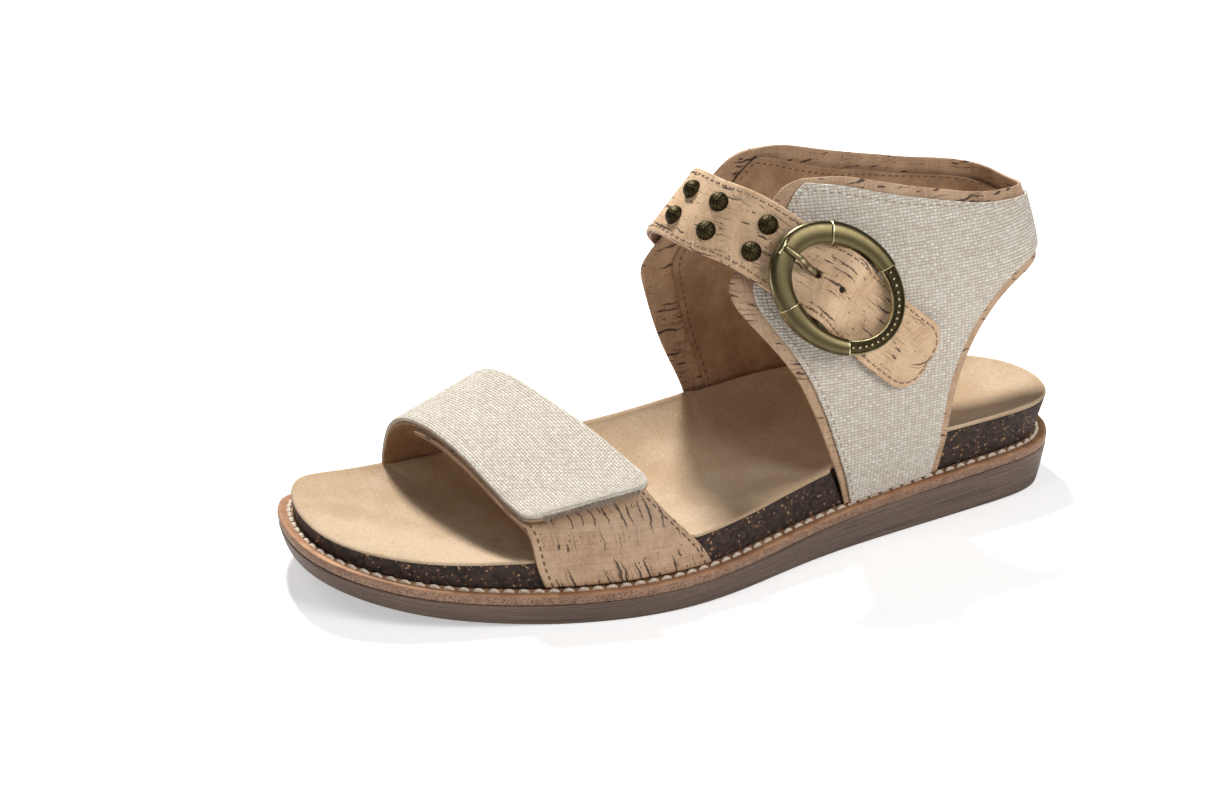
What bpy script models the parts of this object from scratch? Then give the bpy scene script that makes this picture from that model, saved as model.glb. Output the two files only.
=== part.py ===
"""Cork footbed sandal, left shoe.

An outsole, a leather welt and a dished cork footbed carry two straps over the forefoot and
a high ankle cuff.  A studded instep strap runs from the inner side of the cuff, round the
front of the ankle and through an oval buckle on the outer side.

X points to the outer side of the foot, Y to the heel and Z up.  The sandal stands on Z = 0
with its outline centred on the origin.  Sizes are in millimetres and become metres where a
mesh is made.
"""

import math

import bmesh
import bpy
import numpy as np

MM = 0.001
# The tables measure x from the middle of the heel; this moves the outline onto the origin
OUTLINE_MIDDLE_X = 2.468

# Driving sizes
LENGTH = 262.0
HALF_LENGTH = LENGTH / 2
GAP = 0.3
WELT_THICKNESS = 3.2
STITCH_BAND = 4.7
STRAP_PROUD = 1.3
STRAP_RECESS = 1.9
TOE_SPRING = 12.2
SPRING_START = -60.0
INSOLE_THICKNESS = 1.2
INSOLE_ROUND = 0.3
SPINE_SHARE = 0.72
TREAD_ROUND = 0.9
SOLE_EDGE_INSET = 0.15
SOLE_SIDE_INSET = 0.25
SOLE_SIDE_LIP = 1.4
WELT_ROUND = 0.6

# Outline of the welt, heel to toe: y, outer side x, inner side x
WELT_OUTLINE = (
    (118.0, 24.0, -23.9),
    (95.0, 29.7, -30.4),
    (60.0, 34.2, -32.4),
    (20.0, 41.4, -31.4),
    (-20.0, 51.5, -36.3),
    (-50.0, 49.9, -42.4),
    (-75.0, 42.0, -46.4),
    (-100.0, 33.0, -47.0),
    (-120.0, 20.2, -43.0),
)
HEEL_X = 0.0
TOE_X = -8.0

# Thickness of the outsole and undercut of its lower edge: y, thickness, undercut
OUTSOLE_SIDE = (
    (-131.0, 5.4, 1.6),
    (-75.0, 6.4, 0.8),
    (-20.0, 7.3, 0.8),
    (50.0, 11.2, 1.0),
    (131.0, 14.1, 2.4),
)

# Cork above the welt: y, outer rim height, extra on the inner side, centre height, rim inset
FOOTBED_SECTIONS = (
    (-131.0, 3.6, 0.0, 3.4, 4.5),
    (-100.0, 5.6, 2.4, 4.0, 4.6),
    (-60.0, 8.1, 5.2, 5.0, 4.9),
    (-20.0, 8.9, 8.2, 6.4, 5.0),
    (20.0, 11.2, 10.2, 8.2, 4.2),
    (50.0, 13.8, 7.0, 7.4, 2.6),
    (80.0, 13.6, 2.2, 5.4, 1.3),
    (131.0, 12.1, 0.0, 5.6, 1.3),
)

HEEL_DISH_POWER = 2.3
TOE_DISH_POWER = 3.2
DISH_FADE_Y = 20.0
DISH_FADE_LENGTH = 60.0
DISH_SHARES = (0.9, 0.68, 0.4)

# Where straps pass between the cork and the welt:
# first y at the welt, first y at the rim, last y at the welt, last y at the rim, side
STRAP_ZONES = (
    (-71.0, -75.0, -14.0, -17.5, 1),
    (35.5, 28.0, 78.0, 80.0, 1),
    (-90.5, -90.5, -56.0, -56.0, -1),
    (11.0, 9.0, 78.0, 80.0, -1),
)
ZONE_EASE = 4.0

# Half width of the ankle form over height: z, half width
ANKLE_WIDTHS = (
    (14.0, 34.3),
    (30.0, 34.2),
    (47.0, 33.4),
    (62.0, 33.0),
    (77.0, 31.8),
    (86.0, 29.8),
    (95.0, 26.8),
    (105.0, 23.2),
    (118.0, 19.3),
    (126.0, 17.5),
)
# Back of the ankle form over height: z, y
ANKLE_BACK = (
    (14.0, 121.0),
    (60.0, 124.0),
    (71.0, 123.3),
    (85.0, 121.5),
    (100.0, 117.5),
    (118.0, 112.0),
)
INSTEP_AT_97 = -7.0
INSTEP_SLOPE = 0.84
FRONT_FULLNESS = {1: 2.0, -1: 2.6}
FRONT_CURVE_Y = 48.0
BACK_CURVE_Y = 80.0
ANKLE_MIDDLE_Y = 60.0
HEEL_RUN = 150.0
LEG_BLEND = 28.0

# Ankle cuff: share of the way round, lower run and z, upper run and z
CUFF_LEG_END = 0.40
CUFF_LEG = ((0.0, 37.5, 14.3), (0.2, 56.0, 15.3), (0.4, 75.0, 16.4))
CUFF_REAR_EDGE = (
    (0.40, 75.0, 16.4),
    (0.47, 76.4, 33.0),
    (0.55, 78.6, 48.0),
    (0.63, 83.5, 60.0),
    (0.72, 93.0, 70.5),
    (0.82, 109.0, 77.0),
    (0.91, 130.0, 79.0),
    (1.0, 150.0, 79.0),
)
CUFF_TOP_EDGE = (
    (0.0, 29.0, 117.6),
    (0.12, 40.0, 117.4),
    (0.25, 51.0, 115.1),
    (0.40, 65.0, 111.6),
    (0.55, 80.0, 108.4),
    (0.70, 95.0, 106.0),
    (0.85, 116.0, 104.2),
    (1.0, 150.0, 101.5),
)
# Front edges of the cuff from the sole to the top: y, z
CUFF_FRONT_OUTER = (
    (37.5, 14.3),
    (34.0, 24.0),
    (30.0, 34.3),
    (25.4, 48.1),
    (19.9, 59.3),
    (12.7, 69.4),
    (5.9, 77.9),
    (2.6, 83.4),
    (2.2, 88.2),
    (6.5, 93.5),
    (13.5, 103.0),
    (20.2, 112.9),
    (23.6, 115.8),
    (29.0, 117.6),
)
CUFF_FRONT_INNER = (
    (15.5, 14.6),
    (14.5, 24.0),
    (12.3, 34.3),
    (6.2, 49.3),
    (0.1, 64.6),
    (-5.0, 77.0),
    (-6.9, 82.5),
    (-6.0, 87.0),
    (-1.5, 92.5),
    (6.0, 101.5),
    (13.0, 109.0),
    (18.7, 114.8),
    (23.2, 117.0),
    (29.0, 117.6),
)
CUFF_INNER_LEG = ((0.0, 15.5, 14.6), (0.2, 45.0, 14.9), (0.4, 75.0, 16.4))
FRONT_BULGE_REACH = 0.34
CUFF_THICKNESS = 2.0
PANEL_BORDER = 3.6
LEG_MARGIN = 0.6
LEG_FADE = 0.05
PANEL_THICKNESS = 0.9

# Forefoot cork strap, outer face from the outer side upwards:
# front x, y, z and rear x, y, z
FOREFOOT_UNDER = (
    (39.6, -69.0, 10.9, 46.4, -16.6, 11.4),
    (40.3, -71.0, 17.0, 45.8, -20.5, 18.0),
    (39.9, -72.3, 24.0, 44.2, -26.5, 25.0),
    (36.4, -73.4, 29.6, 41.2, -33.0, 33.0),
    (29.5, -75.0, 31.6, 35.0, -36.8, 39.2),
    (18.0, -77.2, 34.9, 20.0, -41.6, 44.3),
    (2.5, -80.0, 39.0, 4.0, -46.4, 47.9),
    (-13.0, -82.8, 41.0, -9.0, -50.2, 50.4),
    (-24.0, -84.6, 40.4, -19.0, -53.2, 51.6),
)
# Forefoot linen strap, outer face from the inner side over to the outer side
FOREFOOT_OVER = (
    (-41.9, -88.4, 11.0, -40.3, -58.0, 11.3),
    (-42.6, -88.3, 21.8, -42.0, -58.6, 24.0),
    (-42.1, -88.0, 28.9, -42.3, -59.2, 36.0),
    (-39.4, -87.5, 36.0, -39.6, -59.2, 46.0),
    (-34.4, -86.7, 40.5, -33.6, -57.6, 52.6),
    (-28.3, -85.6, 43.0, -25.6, -55.2, 55.2),
    (-15.7, -83.3, 44.3, -14.5, -51.9, 54.8),
    (2.5, -80.1, 42.3, 0.2, -47.6, 52.3),
    (18.0, -77.4, 38.0, 14.6, -43.3, 49.4),
    (29.4, -75.3, 34.9, 29.2, -39.1, 45.2),
    (38.4, -73.7, 34.0, 44.6, -34.5, 40.2),
)
FOREFOOT_UNDER_THICKNESS = 2.0
FOREFOOT_OVER_THICKNESS = 2.6
FOREFOOT_CORNER = 5.0
SIDE_BULGE_TOP = 34.0
SIDE_BULGE_FADE = 18.0
CORNER_STEPS = 4

# Instep strap, middle line round the front of the ankle: angle in degrees, z
INSTEP_PATH = (
    (-10.6, 58.2),
    (-1.5, 69.4),
    (12.1, 84.1),
    (27.0, 93.8),
    (40.6, 100.2),
    (71.5, 105.8),
    (92.0, 106.4),
    (112.0, 104.4),
    (135.0, 98.0),
    (152.0, 90.5),
    (166.0, 82.5),
    (179.0, 75.0),
)
INSTEP_WIDTH = 24.0
INSTEP_THICKNESS = 2.2
INSTEP_LIFT = 1.6
INSTEP_CORNER = 7.5
BUCKLE_ANGLE = 14.2
BAR_RISE = 4.9
BAR_REACH = 6.5
BAR_DROP = 1.7

# Buckle, an oval with its long axis along the strap
BUCKLE_LONG = 23.8
BUCKLE_SHORT = 18.6
BUCKLE_BAND = 5.6
BUCKLE_HEIGHT = 4.0
BUCKLE_SEAT = 4.3
BAR_RADIUS = 1.4
PRONG_LENGTH = 15.5
PRONG_WIDTH = 2.2
PRONG_HEIGHT = 1.5
PRONG_SHORT = 2.0
PRONG_DIP = 3.0
PRONG_TAPER = 0.33
# Section of the prong in shares of its half width and half height
PRONG_PROFILE = ((-1.0, -1.0), (1.0, -1.0), (1.0, 0.4), (0.5, 1.0), (-0.5, 1.0), (-1.0, 0.4))

# Studs in pairs: distance along the strap from the buckle bar, distance across
STUD_PAIRS = (26.6, 41.0, 51.9)
STUD_ACROSS = 4.8
STUD_RADIUS = 3.1
STUD_HEIGHT = 2.4
STUD_SIDES = 12
STUD_RINGS = 4

# Mesh steps
OUTLINE_STEPS = 34
STATION_SPACE = 1.2
FINE_ROWS = 25
FINE_COLUMNS = 121
CUFF_COLUMNS = 44
CUFF_ROWS = 11
INSTEP_COLUMNS = 5
HUMP_END = 16.0
HUMP_STEP = 2.0
INSTEP_FAR_STEPS = 22
UNDER_STEPS = 16
OVER_STEPS = 26
FOREFOOT_COLUMNS = 6
BUCKLE_TURNS = 44
BUCKLE_SIDES = 8
BAR_SIDES = 8
PRONG_SECTIONS = 7
LINE_STEPS = 400
LINE_NUDGE = 0.8

# Colours and finish of the materials: base colour, roughness, metallic
FINISHES = {
    "sole_rubber": ((0.16, 0.115, 0.09), 0.62, 0.0),
    "welt_leather": ((0.36, 0.19, 0.12), 0.7, 0.0),
    "cork_footbed": ((0.07, 0.045, 0.038), 0.8, 0.0),
    "suede_cover": ((0.52, 0.35, 0.2), 0.92, 0.0),
    "cork_fabric": ((0.52, 0.34, 0.2), 0.7, 0.0),
    "linen": ((0.66, 0.59, 0.48), 0.9, 0.0),
    "antique_brass": ((0.3, 0.24, 0.11), 0.35, 1.0),
}


def clear_scene():
    for item in list(bpy.data.objects):
        bpy.data.objects.remove(item, do_unlink=True)


def curve(xs, ys):
    """Natural cubic curve through the points, returned as a function of x."""
    xs = np.asarray(xs, float)
    ys = np.asarray(ys, float)
    count = len(xs)
    step = np.diff(xs)
    matrix = np.eye(count)
    right = np.zeros(count)
    for i in range(1, count - 1):
        matrix[i, i - 1] = step[i - 1]
        matrix[i, i] = 2 * (step[i - 1] + step[i])
        matrix[i, i + 1] = step[i]
        right[i] = 6 * ((ys[i + 1] - ys[i]) / step[i] - (ys[i] - ys[i - 1]) / step[i - 1])
    bend = np.linalg.solve(matrix, right)

    def value(x):
        x = np.clip(np.asarray(x, float), xs[0], xs[-1])
        i = np.clip(np.searchsorted(xs, x) - 1, 0, count - 2)
        t = x - xs[i]
        cubic = (bend[i + 1] - bend[i]) / (6 * step[i])
        slope = (ys[i + 1] - ys[i]) / step[i] - step[i] * (2 * bend[i] + bend[i + 1]) / 6
        return ys[i] + t * (slope + t * (bend[i] / 2 + t * cubic))

    return value


def table_curve(table, column):
    rows = sorted(table)
    return curve([row[0] for row in rows], [row[column] for row in rows])


def smooth_step(x):
    x = np.clip(x, 0.0, 1.0)
    return x * x * (3 - 2 * x)


def outline_curve():
    """x of the welt edge over the angle round the outline, from the heel over the outer side."""
    angles = [0.0]
    across = [HEEL_X]
    for y, outer, _ in WELT_OUTLINE:
        angles.append(math.acos(y / HALF_LENGTH))
        across.append(outer)
    angles.append(math.pi)
    across.append(TOE_X)
    for y, _, inner in reversed(WELT_OUTLINE):
        angles.append(2 * math.pi - math.acos(y / HALF_LENGTH))
        across.append(inner)
    turns = [angle + turn * 2 * math.pi for turn in (-1, 0, 1) for angle in angles]
    return curve(turns, across * 3)


OUTLINE_X = outline_curve()
SIDE_THICKNESS = table_curve(OUTSOLE_SIDE, 1)
SIDE_UNDERCUT = table_curve(OUTSOLE_SIDE, 2)
RIM_OUTER = table_curve(FOOTBED_SECTIONS, 1)
RIM_INNER_EXTRA = table_curve(FOOTBED_SECTIONS, 2)
CENTRE_HEIGHT = table_curve(FOOTBED_SECTIONS, 3)
RIM_INSET = table_curve(FOOTBED_SECTIONS, 4)
ANKLE_WIDTH = table_curve(ANKLE_WIDTHS, 1)
ANKLE_BACK_Y = table_curve(ANKLE_BACK, 1)


def welt_x(y, side):
    """Edge of the welt at y on one side, 1 for the outer and -1 for the inner."""
    angle = np.arccos(np.clip(y / HALF_LENGTH, -1, 1))
    if side > 0:
        return OUTLINE_X(angle)
    return OUTLINE_X(2 * math.pi - angle)


def edge_point(angle, inset):
    """Point of the outline, moved inwards at a right angle to its edge."""
    small = 1e-3
    x0, x1 = OUTLINE_X(angle - small), OUTLINE_X(angle + small)
    y0, y1 = HALF_LENGTH * math.cos(angle - small), HALF_LENGTH * math.cos(angle + small)
    run = math.hypot(x1 - x0, y1 - y0)
    inward_x = (y1 - y0) / run
    inward_y = -(x1 - x0) / run
    return OUTLINE_X(angle) + inset * inward_x, HALF_LENGTH * math.cos(angle) + inset * inward_y


def ground(y):
    """Height of the tread: flat from the heel to the ball, then the toe spring."""
    rise = np.maximum(0.0, SPRING_START - y) / (HALF_LENGTH + SPRING_START)
    return TOE_SPRING * rise ** 2


def outsole_top(y):
    return ground(y) + SIDE_THICKNESS(y)


def welt_top(y):
    return outsole_top(y) + GAP + WELT_THICKNESS


def rim_height(y, side):
    return welt_top(y) + GAP + RIM_OUTER(y) + (RIM_INNER_EXTRA(y) if side < 0 else 0.0)


def strap_recess(y, side, share):
    """How far the cork steps back behind a strap; share 0 at the welt and 1 at the rim."""
    depth = 0.0
    for first_low, first_high, last_low, last_high, zone_side in STRAP_ZONES:
        first = first_low + (first_high - first_low) * share
        last = last_low + (last_high - last_low) * share
        if zone_side == side:
            inside = smooth_step((y - first + ZONE_EASE) / ZONE_EASE)
            inside = inside * smooth_step((last + ZONE_EASE - y) / ZONE_EASE)
            depth = max(depth, float(inside))
    return STRAP_RECESS * depth


def stations(extra=()):
    """Values of y down the shoe, without the two ends."""
    values = [HALF_LENGTH * math.cos(math.pi * i / OUTLINE_STEPS) for i in range(1, OUTLINE_STEPS)]
    for y in extra:
        values = [v for v in values if abs(v - y) > STATION_SPACE]
        values.append(y)
    return sorted(values, reverse=True)


def ring_angles(ys):
    """Angles round the outline: heel end, outer side, toe end, inner side."""
    outer = [math.acos(y / HALF_LENGTH) for y in ys]
    inner = [2 * math.pi - angle for angle in reversed(outer)]
    return [0.0] + outer + [math.pi] + inner


def side_of(angle):
    return 1 if angle <= math.pi else -1


def outline_ring(angles, inset, height):
    """Ring of points; inset and height are functions of y and side."""
    ring = []
    for angle in angles:
        y = HALF_LENGTH * math.cos(angle)
        px, py = edge_point(angle, inset(y, side_of(angle)))
        ring.append((px, py, float(height(py, side_of(angle)))))
    return np.array(ring)


def finish_material(name):
    found = bpy.data.materials.get(name)
    if found:
        return found
    colour, roughness, metallic = FINISHES[name]
    material = bpy.data.materials.new(name)
    material.use_nodes = True
    shader = material.node_tree.nodes["Principled BSDF"]
    shader.inputs["Base Color"].default_value = (*colour, 1.0)
    shader.inputs["Roughness"].default_value = roughness
    shader.inputs["Metallic"].default_value = metallic
    return material


def solid(name, points, faces, finish):
    """One closed body from points in millimetres, with its faces turned outwards."""
    mesh = bpy.data.meshes.new(name)
    places = (np.asarray(points, float) - (OUTLINE_MIDDLE_X, 0.0, 0.0)) * MM
    mesh.from_pydata(places.tolist(), [], faces)
    work = bmesh.new()
    work.from_mesh(mesh)
    bmesh.ops.triangulate(work, faces=work.faces)
    bmesh.ops.recalc_face_normals(work, faces=work.faces)
    work.to_mesh(mesh)
    work.free()
    mesh.materials.append(finish_material(finish))
    mesh.shade_smooth()
    mesh.set_sharp_from_angle(angle=math.radians(35))
    item = bpy.data.objects.new(name, mesh)
    bpy.context.collection.objects.link(item)
    return item


def ladder_cap(start, count):
    """Faces that join the two sides of a ring across the shoe."""
    half = count // 2
    faces = [(start, start + 1, start + count - 1)]
    for i in range(1, half - 1):
        faces.append((start + i, start + i + 1, start + count - i - 1, start + count - i))
    faces.append((start + half - 1, start + half, start + half + 1))
    return faces


def ring_walls(start, count, rings):
    faces = []
    for r in range(rings - 1):
        for i in range(count):
            j = (i + 1) % count
            a = start + r * count
            faces.append((a + i, a + j, a + count + j, a + count + i))
    return faces


def spine_of(ring):
    """Points down the middle of a ring, one for each pair of its sides."""
    count = len(ring)
    half = count // 2
    spine = []
    for i in range(half + 1):
        pair = ring[(count - i) % count]
        middle_x = (ring[i][0] + pair[0]) / 2
        spine.append((middle_x, ring[i][1] * SPINE_SHARE))
    return np.array(spine)


def dished_rings(rim, shares, drop):
    """Rings from the rim inwards over the dished top, and the points of the spine."""
    count = len(rim)
    half = count // 2
    spine = spine_of(rim)

    def point(i, share):
        s = i if i <= half else count - i
        x = spine[s][0] + (rim[i][0] - spine[s][0]) * share
        y = spine[s][1] + (rim[i][1] - spine[s][1]) * share
        middle = float(welt_top(y) + GAP + CENTRE_HEIGHT(y)) + drop
        forward = float(smooth_step((DISH_FADE_Y - rim[i][1]) / DISH_FADE_LENGTH))
        power = HEEL_DISH_POWER + (TOE_DISH_POWER - HEEL_DISH_POWER) * forward
        return (x, y, middle + (rim[i][2] - middle) * share ** power)

    rings = [np.array([point(i, share) for i in range(count)]) for share in shares]
    ends = np.array([point(i, 0.0) for i in range(half + 1)])
    return rings, ends


def spine_cap(ring_start, spine_start, count):
    half = count // 2
    faces = []
    for i in range(count):
        j = (i + 1) % count
        a = spine_start + (i if i <= half else count - i)
        b = spine_start + (j if j <= half else count - j)
        if a == b:
            faces.append((ring_start + i, ring_start + j, b))
        else:
            faces.append((ring_start + i, ring_start + j, b, a))
    return faces


def make_outsole():
    angles = ring_angles(stations())
    rings = [
        outline_ring(angles, lambda y, s: SIDE_UNDERCUT(y) + TREAD_ROUND, lambda y, s: ground(y)),
        outline_ring(angles, lambda y, s: SIDE_UNDERCUT(y), lambda y, s: ground(y) + TREAD_ROUND),
        outline_ring(angles, lambda y, s: SOLE_SIDE_INSET, lambda y, s: outsole_top(y) - SOLE_SIDE_LIP),
        outline_ring(angles, lambda y, s: SOLE_EDGE_INSET, lambda y, s: outsole_top(y)),
    ]
    count = len(angles)
    faces = ring_walls(0, count, len(rings))
    faces += ladder_cap(0, count)
    faces += ladder_cap(count * (len(rings) - 1), count)
    return solid("outsole", np.concatenate(rings), faces, "sole_rubber")


def make_welt():
    angles = ring_angles(stations())
    rings = [
        outline_ring(angles, lambda y, s: SOLE_EDGE_INSET, lambda y, s: outsole_top(y) + GAP),
        outline_ring(angles, lambda y, s: 0.0, lambda y, s: welt_top(y) - WELT_ROUND),
        outline_ring(angles, lambda y, s: WELT_ROUND, lambda y, s: welt_top(y)),
    ]
    count = len(angles)
    faces = ring_walls(0, count, len(rings))
    faces += ladder_cap(0, count)
    faces += ladder_cap(count * (len(rings) - 1), count)
    return solid("welt", np.concatenate(rings), faces, "welt_leather")


def zone_stations():
    extra = []
    for first_low, first_high, last_low, last_high, _ in STRAP_ZONES:
        first, last = (first_low + first_high) / 2, (last_low + last_high) / 2
        extra += [first - ZONE_EASE, first, last, last + ZONE_EASE]
    return stations(extra)


def footbed_rim(angles, extra_inset=0.0, lift=0.0):
    return outline_ring(
        angles,
        lambda y, s: RIM_INSET(y) + strap_recess(y, s, 1.0) + extra_inset,
        lambda y, s: rim_height(y, s) + lift,
    )


def make_footbed():
    angles = ring_angles(zone_stations())
    count = len(angles)

    def wall(share):
        def inset(y, side):
            return STITCH_BAND + (RIM_INSET(y) - STITCH_BAND) * share + strap_recess(y, side, share)

        def height(y, side):
            low = welt_top(y) + GAP
            return low + (rim_height(y, side) - low) * share

        return outline_ring(angles, inset, height)

    rim = footbed_rim(angles)
    top, ends = dished_rings(rim, DISH_SHARES, 0.0)
    rings = [wall(0.0), wall(0.5), rim] + top
    faces = ring_walls(0, count, len(rings))
    faces += ladder_cap(0, count)
    faces += spine_cap(count * (len(rings) - 1), count * len(rings), count)
    points = np.concatenate(rings + [ends])
    return solid("footbed", points, faces, "cork_footbed")


def make_insole_cover():
    angles = ring_angles(zone_stations())
    count = len(angles)
    lower_rim = footbed_rim(angles, 0.0, GAP)
    upper_rim = footbed_rim(angles, INSOLE_ROUND, GAP + INSOLE_THICKNESS)
    lower, lower_ends = dished_rings(lower_rim, DISH_SHARES, GAP)
    upper, upper_ends = dished_rings(upper_rim, DISH_SHARES, GAP + INSOLE_THICKNESS)
    rings = list(reversed(lower)) + [lower_rim, upper_rim] + upper
    faces = ring_walls(0, count, len(rings))
    low_start = count * len(rings)
    faces += spine_cap(0, low_start, count)
    faces += spine_cap(count * (len(rings) - 1), low_start + len(lower_ends), count)
    points = np.concatenate(rings + [lower_ends, upper_ends])
    return solid("insole_cover", points, faces, "suede_cover")


def grid_normals(grid):
    """Unit normals of a grid of points, from the steps along its rows and columns."""
    down = np.gradient(grid, axis=0)
    along = np.gradient(grid, axis=1)
    normal = np.cross(along, down)
    return normal / np.linalg.norm(normal, axis=2, keepdims=True)


def sheet_solid(name, outer, inner, finish):
    """Closed sheet between two grids of points."""
    rows, columns = outer.shape[:2]
    points = np.concatenate([outer.reshape(-1, 3), inner.reshape(-1, 3)])
    back = rows * columns
    faces = []
    for r in range(rows - 1):
        for c in range(columns - 1):
            a = r * columns + c
            quad = (a, a + 1, a + columns + 1, a + columns)
            faces.append(quad)
            faces.append(tuple(back + v for v in reversed(quad)))
    border = list(range(columns))
    border += [r * columns + columns - 1 for r in range(1, rows)]
    border += [(rows - 1) * columns + c for c in range(columns - 2, -1, -1)]
    border += [r * columns for r in range(rows - 2, 0, -1)]
    for i, a in enumerate(border):
        b = border[(i + 1) % len(border)]
        faces.append((a, b, back + b, back + a))
    return solid(name, points, faces, finish)


def instep_y(z):
    """Front end of the ankle form at a height."""
    return INSTEP_AT_97 + INSTEP_SLOPE * (z - 97.0)


def leg_x(y, z, side):
    """Distance from the middle to the face of a strap that stands on the welt."""
    low = welt_top(y) + GAP
    rim = rim_height(y, side)
    share = np.clip((z - low) / (rim - low), 0.0, 1.0)
    inset = STITCH_BAND + (RIM_INSET(y) - STITCH_BAND) * share
    return abs(welt_x(y, side)) - inset + STRAP_PROUD


def ankle_point(run, z, side):
    """Point of the ankle form; run is y on the side and goes on round the heel to HEEL_RUN."""
    width = float(ANKLE_WIDTH(z))
    if run > BACK_CURVE_Y:
        turn = math.pi / 2 * (run - BACK_CURVE_Y) / (HEEL_RUN - BACK_CURVE_Y)
        depth = float(ANKLE_BACK_Y(z)) - BACK_CURVE_Y
        return np.array((side * width * math.cos(turn), BACK_CURVE_Y + depth * math.sin(turn), z))
    x = width
    if run < FRONT_CURVE_Y:
        depth = FRONT_CURVE_Y - instep_y(z)
        share = min(1.0, (FRONT_CURVE_Y - run) / depth)
        fullness = FRONT_FULLNESS[side]
        x = width * (1 - share ** fullness) ** (1 / fullness)
    blend = float(smooth_step((z - float(rim_height(run, side))) / LEG_BLEND))
    x = float(leg_x(run, z, side)) * (1 - blend) + x * blend
    return np.array((side * x, run, z))


LEG_LINES = {
    1: (table_curve(CUFF_LEG, 1), table_curve(CUFF_LEG, 2)),
    -1: (table_curve(CUFF_INNER_LEG, 1), table_curve(CUFF_INNER_LEG, 2)),
}
REAR_RUN = table_curve(CUFF_REAR_EDGE, 1)
REAR_Z = table_curve(CUFF_REAR_EDGE, 2)
TOP_RUN = table_curve(CUFF_TOP_EDGE, 1)
TOP_Z = table_curve(CUFF_TOP_EDGE, 2)


def front_line(table):
    """Front edge of the cuff over the share of its length."""
    points = np.array(table)
    length = np.concatenate([[0.0], np.cumsum(np.hypot(*np.diff(points, axis=0).T))])
    share = length / length[-1]
    return curve(share, points[:, 0]), curve(share, points[:, 1])


FRONT_LINES = {1: front_line(CUFF_FRONT_OUTER), -1: front_line(CUFF_FRONT_INNER)}


def cuff_place(around, up, side):
    """Run and height on the cuff: around 0 at its front edge and 1 at the heel, up 0 to 1."""
    if around < CUFF_LEG_END:
        low_run, low_z = (float(line(around)) for line in LEG_LINES[side])
    else:
        low_run, low_z = float(REAR_RUN(around)), float(REAR_Z(around))
    run = low_run + (float(TOP_RUN(around)) - low_run) * up
    z = low_z + (float(TOP_Z(around)) - low_z) * up
    if around < FRONT_BULGE_REACH:
        fade = (1 - around / FRONT_BULGE_REACH) ** 2
        line_run, line_z = FRONT_LINES[side]
        straight_run = float(line_run(0)) + (float(line_run(1)) - float(line_run(0))) * up
        straight_z = float(line_z(0)) + (float(line_z(1)) - float(line_z(0))) * up
        run += fade * (float(line_run(up)) - straight_run)
        z += fade * (float(line_z(up)) - straight_z)
    return run, z


def cuff_fine_grid():
    """Outer face of the cuff from the outer front edge round the heel to the inner front edge."""
    grid = np.zeros((FINE_ROWS, FINE_COLUMNS, 3))
    for c in range(FINE_COLUMNS):
        share = c / (FINE_COLUMNS - 1) * 2
        side = 1 if share <= 1 else -1
        around = share if share <= 1 else 2 - share
        for r in range(FINE_ROWS):
            run, z = cuff_place(around, r / (FINE_ROWS - 1), side)
            grid[r, c] = ankle_point(run, z, side)
    return grid


def sample(grid, up, along):
    """Point of a grid at shares of its height and of its length."""
    rows, columns = grid.shape[:2]
    r = min(max(up, 0.0), 1.0) * (rows - 1)
    c = min(max(along, 0.0), 1.0) * (columns - 1)
    r0, c0 = min(int(r), rows - 2), min(int(c), columns - 2)
    fr, fc = r - r0, c - c0
    low = grid[r0, c0] * (1 - fc) + grid[r0, c0 + 1] * fc
    high = grid[r0 + 1, c0] * (1 - fc) + grid[r0 + 1, c0 + 1] * fc
    return low * (1 - fr) + high * fr


def bordered(count, low, high):
    """Shares from 0 to 1 with the second and the last but one at the two borders."""
    inner = low + (1 - low - high) * np.linspace(0, 1, count - 2)
    return np.concatenate([[0.0], inner, [1.0]])


def cuff_grid():
    """Cuff grid whose second lines lie where the linen panel ends."""
    fine = cuff_fine_grid()
    row_length = np.linalg.norm(np.diff(fine, axis=1), axis=2).sum(axis=1)
    column_length = np.linalg.norm(np.diff(fine, axis=0), axis=2).sum(axis=0)
    grid = np.zeros((CUFF_ROWS, CUFF_COLUMNS, 3))
    for c in range(CUFF_COLUMNS):
        middle = c / (CUFF_COLUMNS - 1)
        around = 1 - abs(2 * middle - 1)
        height = float(np.interp(middle, np.linspace(0, 1, FINE_COLUMNS), column_length))
        leg = float(smooth_step((around - CUFF_LEG_END) / LEG_FADE))
        low = LEG_MARGIN + (PANEL_BORDER - LEG_MARGIN) * leg
        ups = bordered(CUFF_ROWS, low / height, PANEL_BORDER / height)
        for r, up in enumerate(ups):
            length = float(np.interp(up, np.linspace(0, 1, FINE_ROWS), row_length))
            alongs = bordered(CUFF_COLUMNS, PANEL_BORDER / length, PANEL_BORDER / length)
            grid[r, c] = sample(fine, up, alongs[c])
    return grid


def cuff_normals(grid):
    """Normals of the cuff, turned away from the ankle."""
    normal = grid_normals(grid)
    away = grid - np.array((0.0, ANKLE_MIDDLE_Y, 0.0))
    away[..., 2] = 0
    return normal * np.sign((normal * away).sum(axis=2).mean())


def make_cuff():
    grid = cuff_grid()
    normal = cuff_normals(grid)
    sheet_solid("ankle_cuff", on_welt(grid), on_welt(grid - normal * CUFF_THICKNESS), "cork_fabric")
    under = (grid + normal * GAP)[1:-1, 1:-1]
    over = (grid + normal * (GAP + PANEL_THICKNESS))[1:-1, 1:-1]
    sheet_solid("cuff_linen_panel", over, under, "linen")


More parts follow.
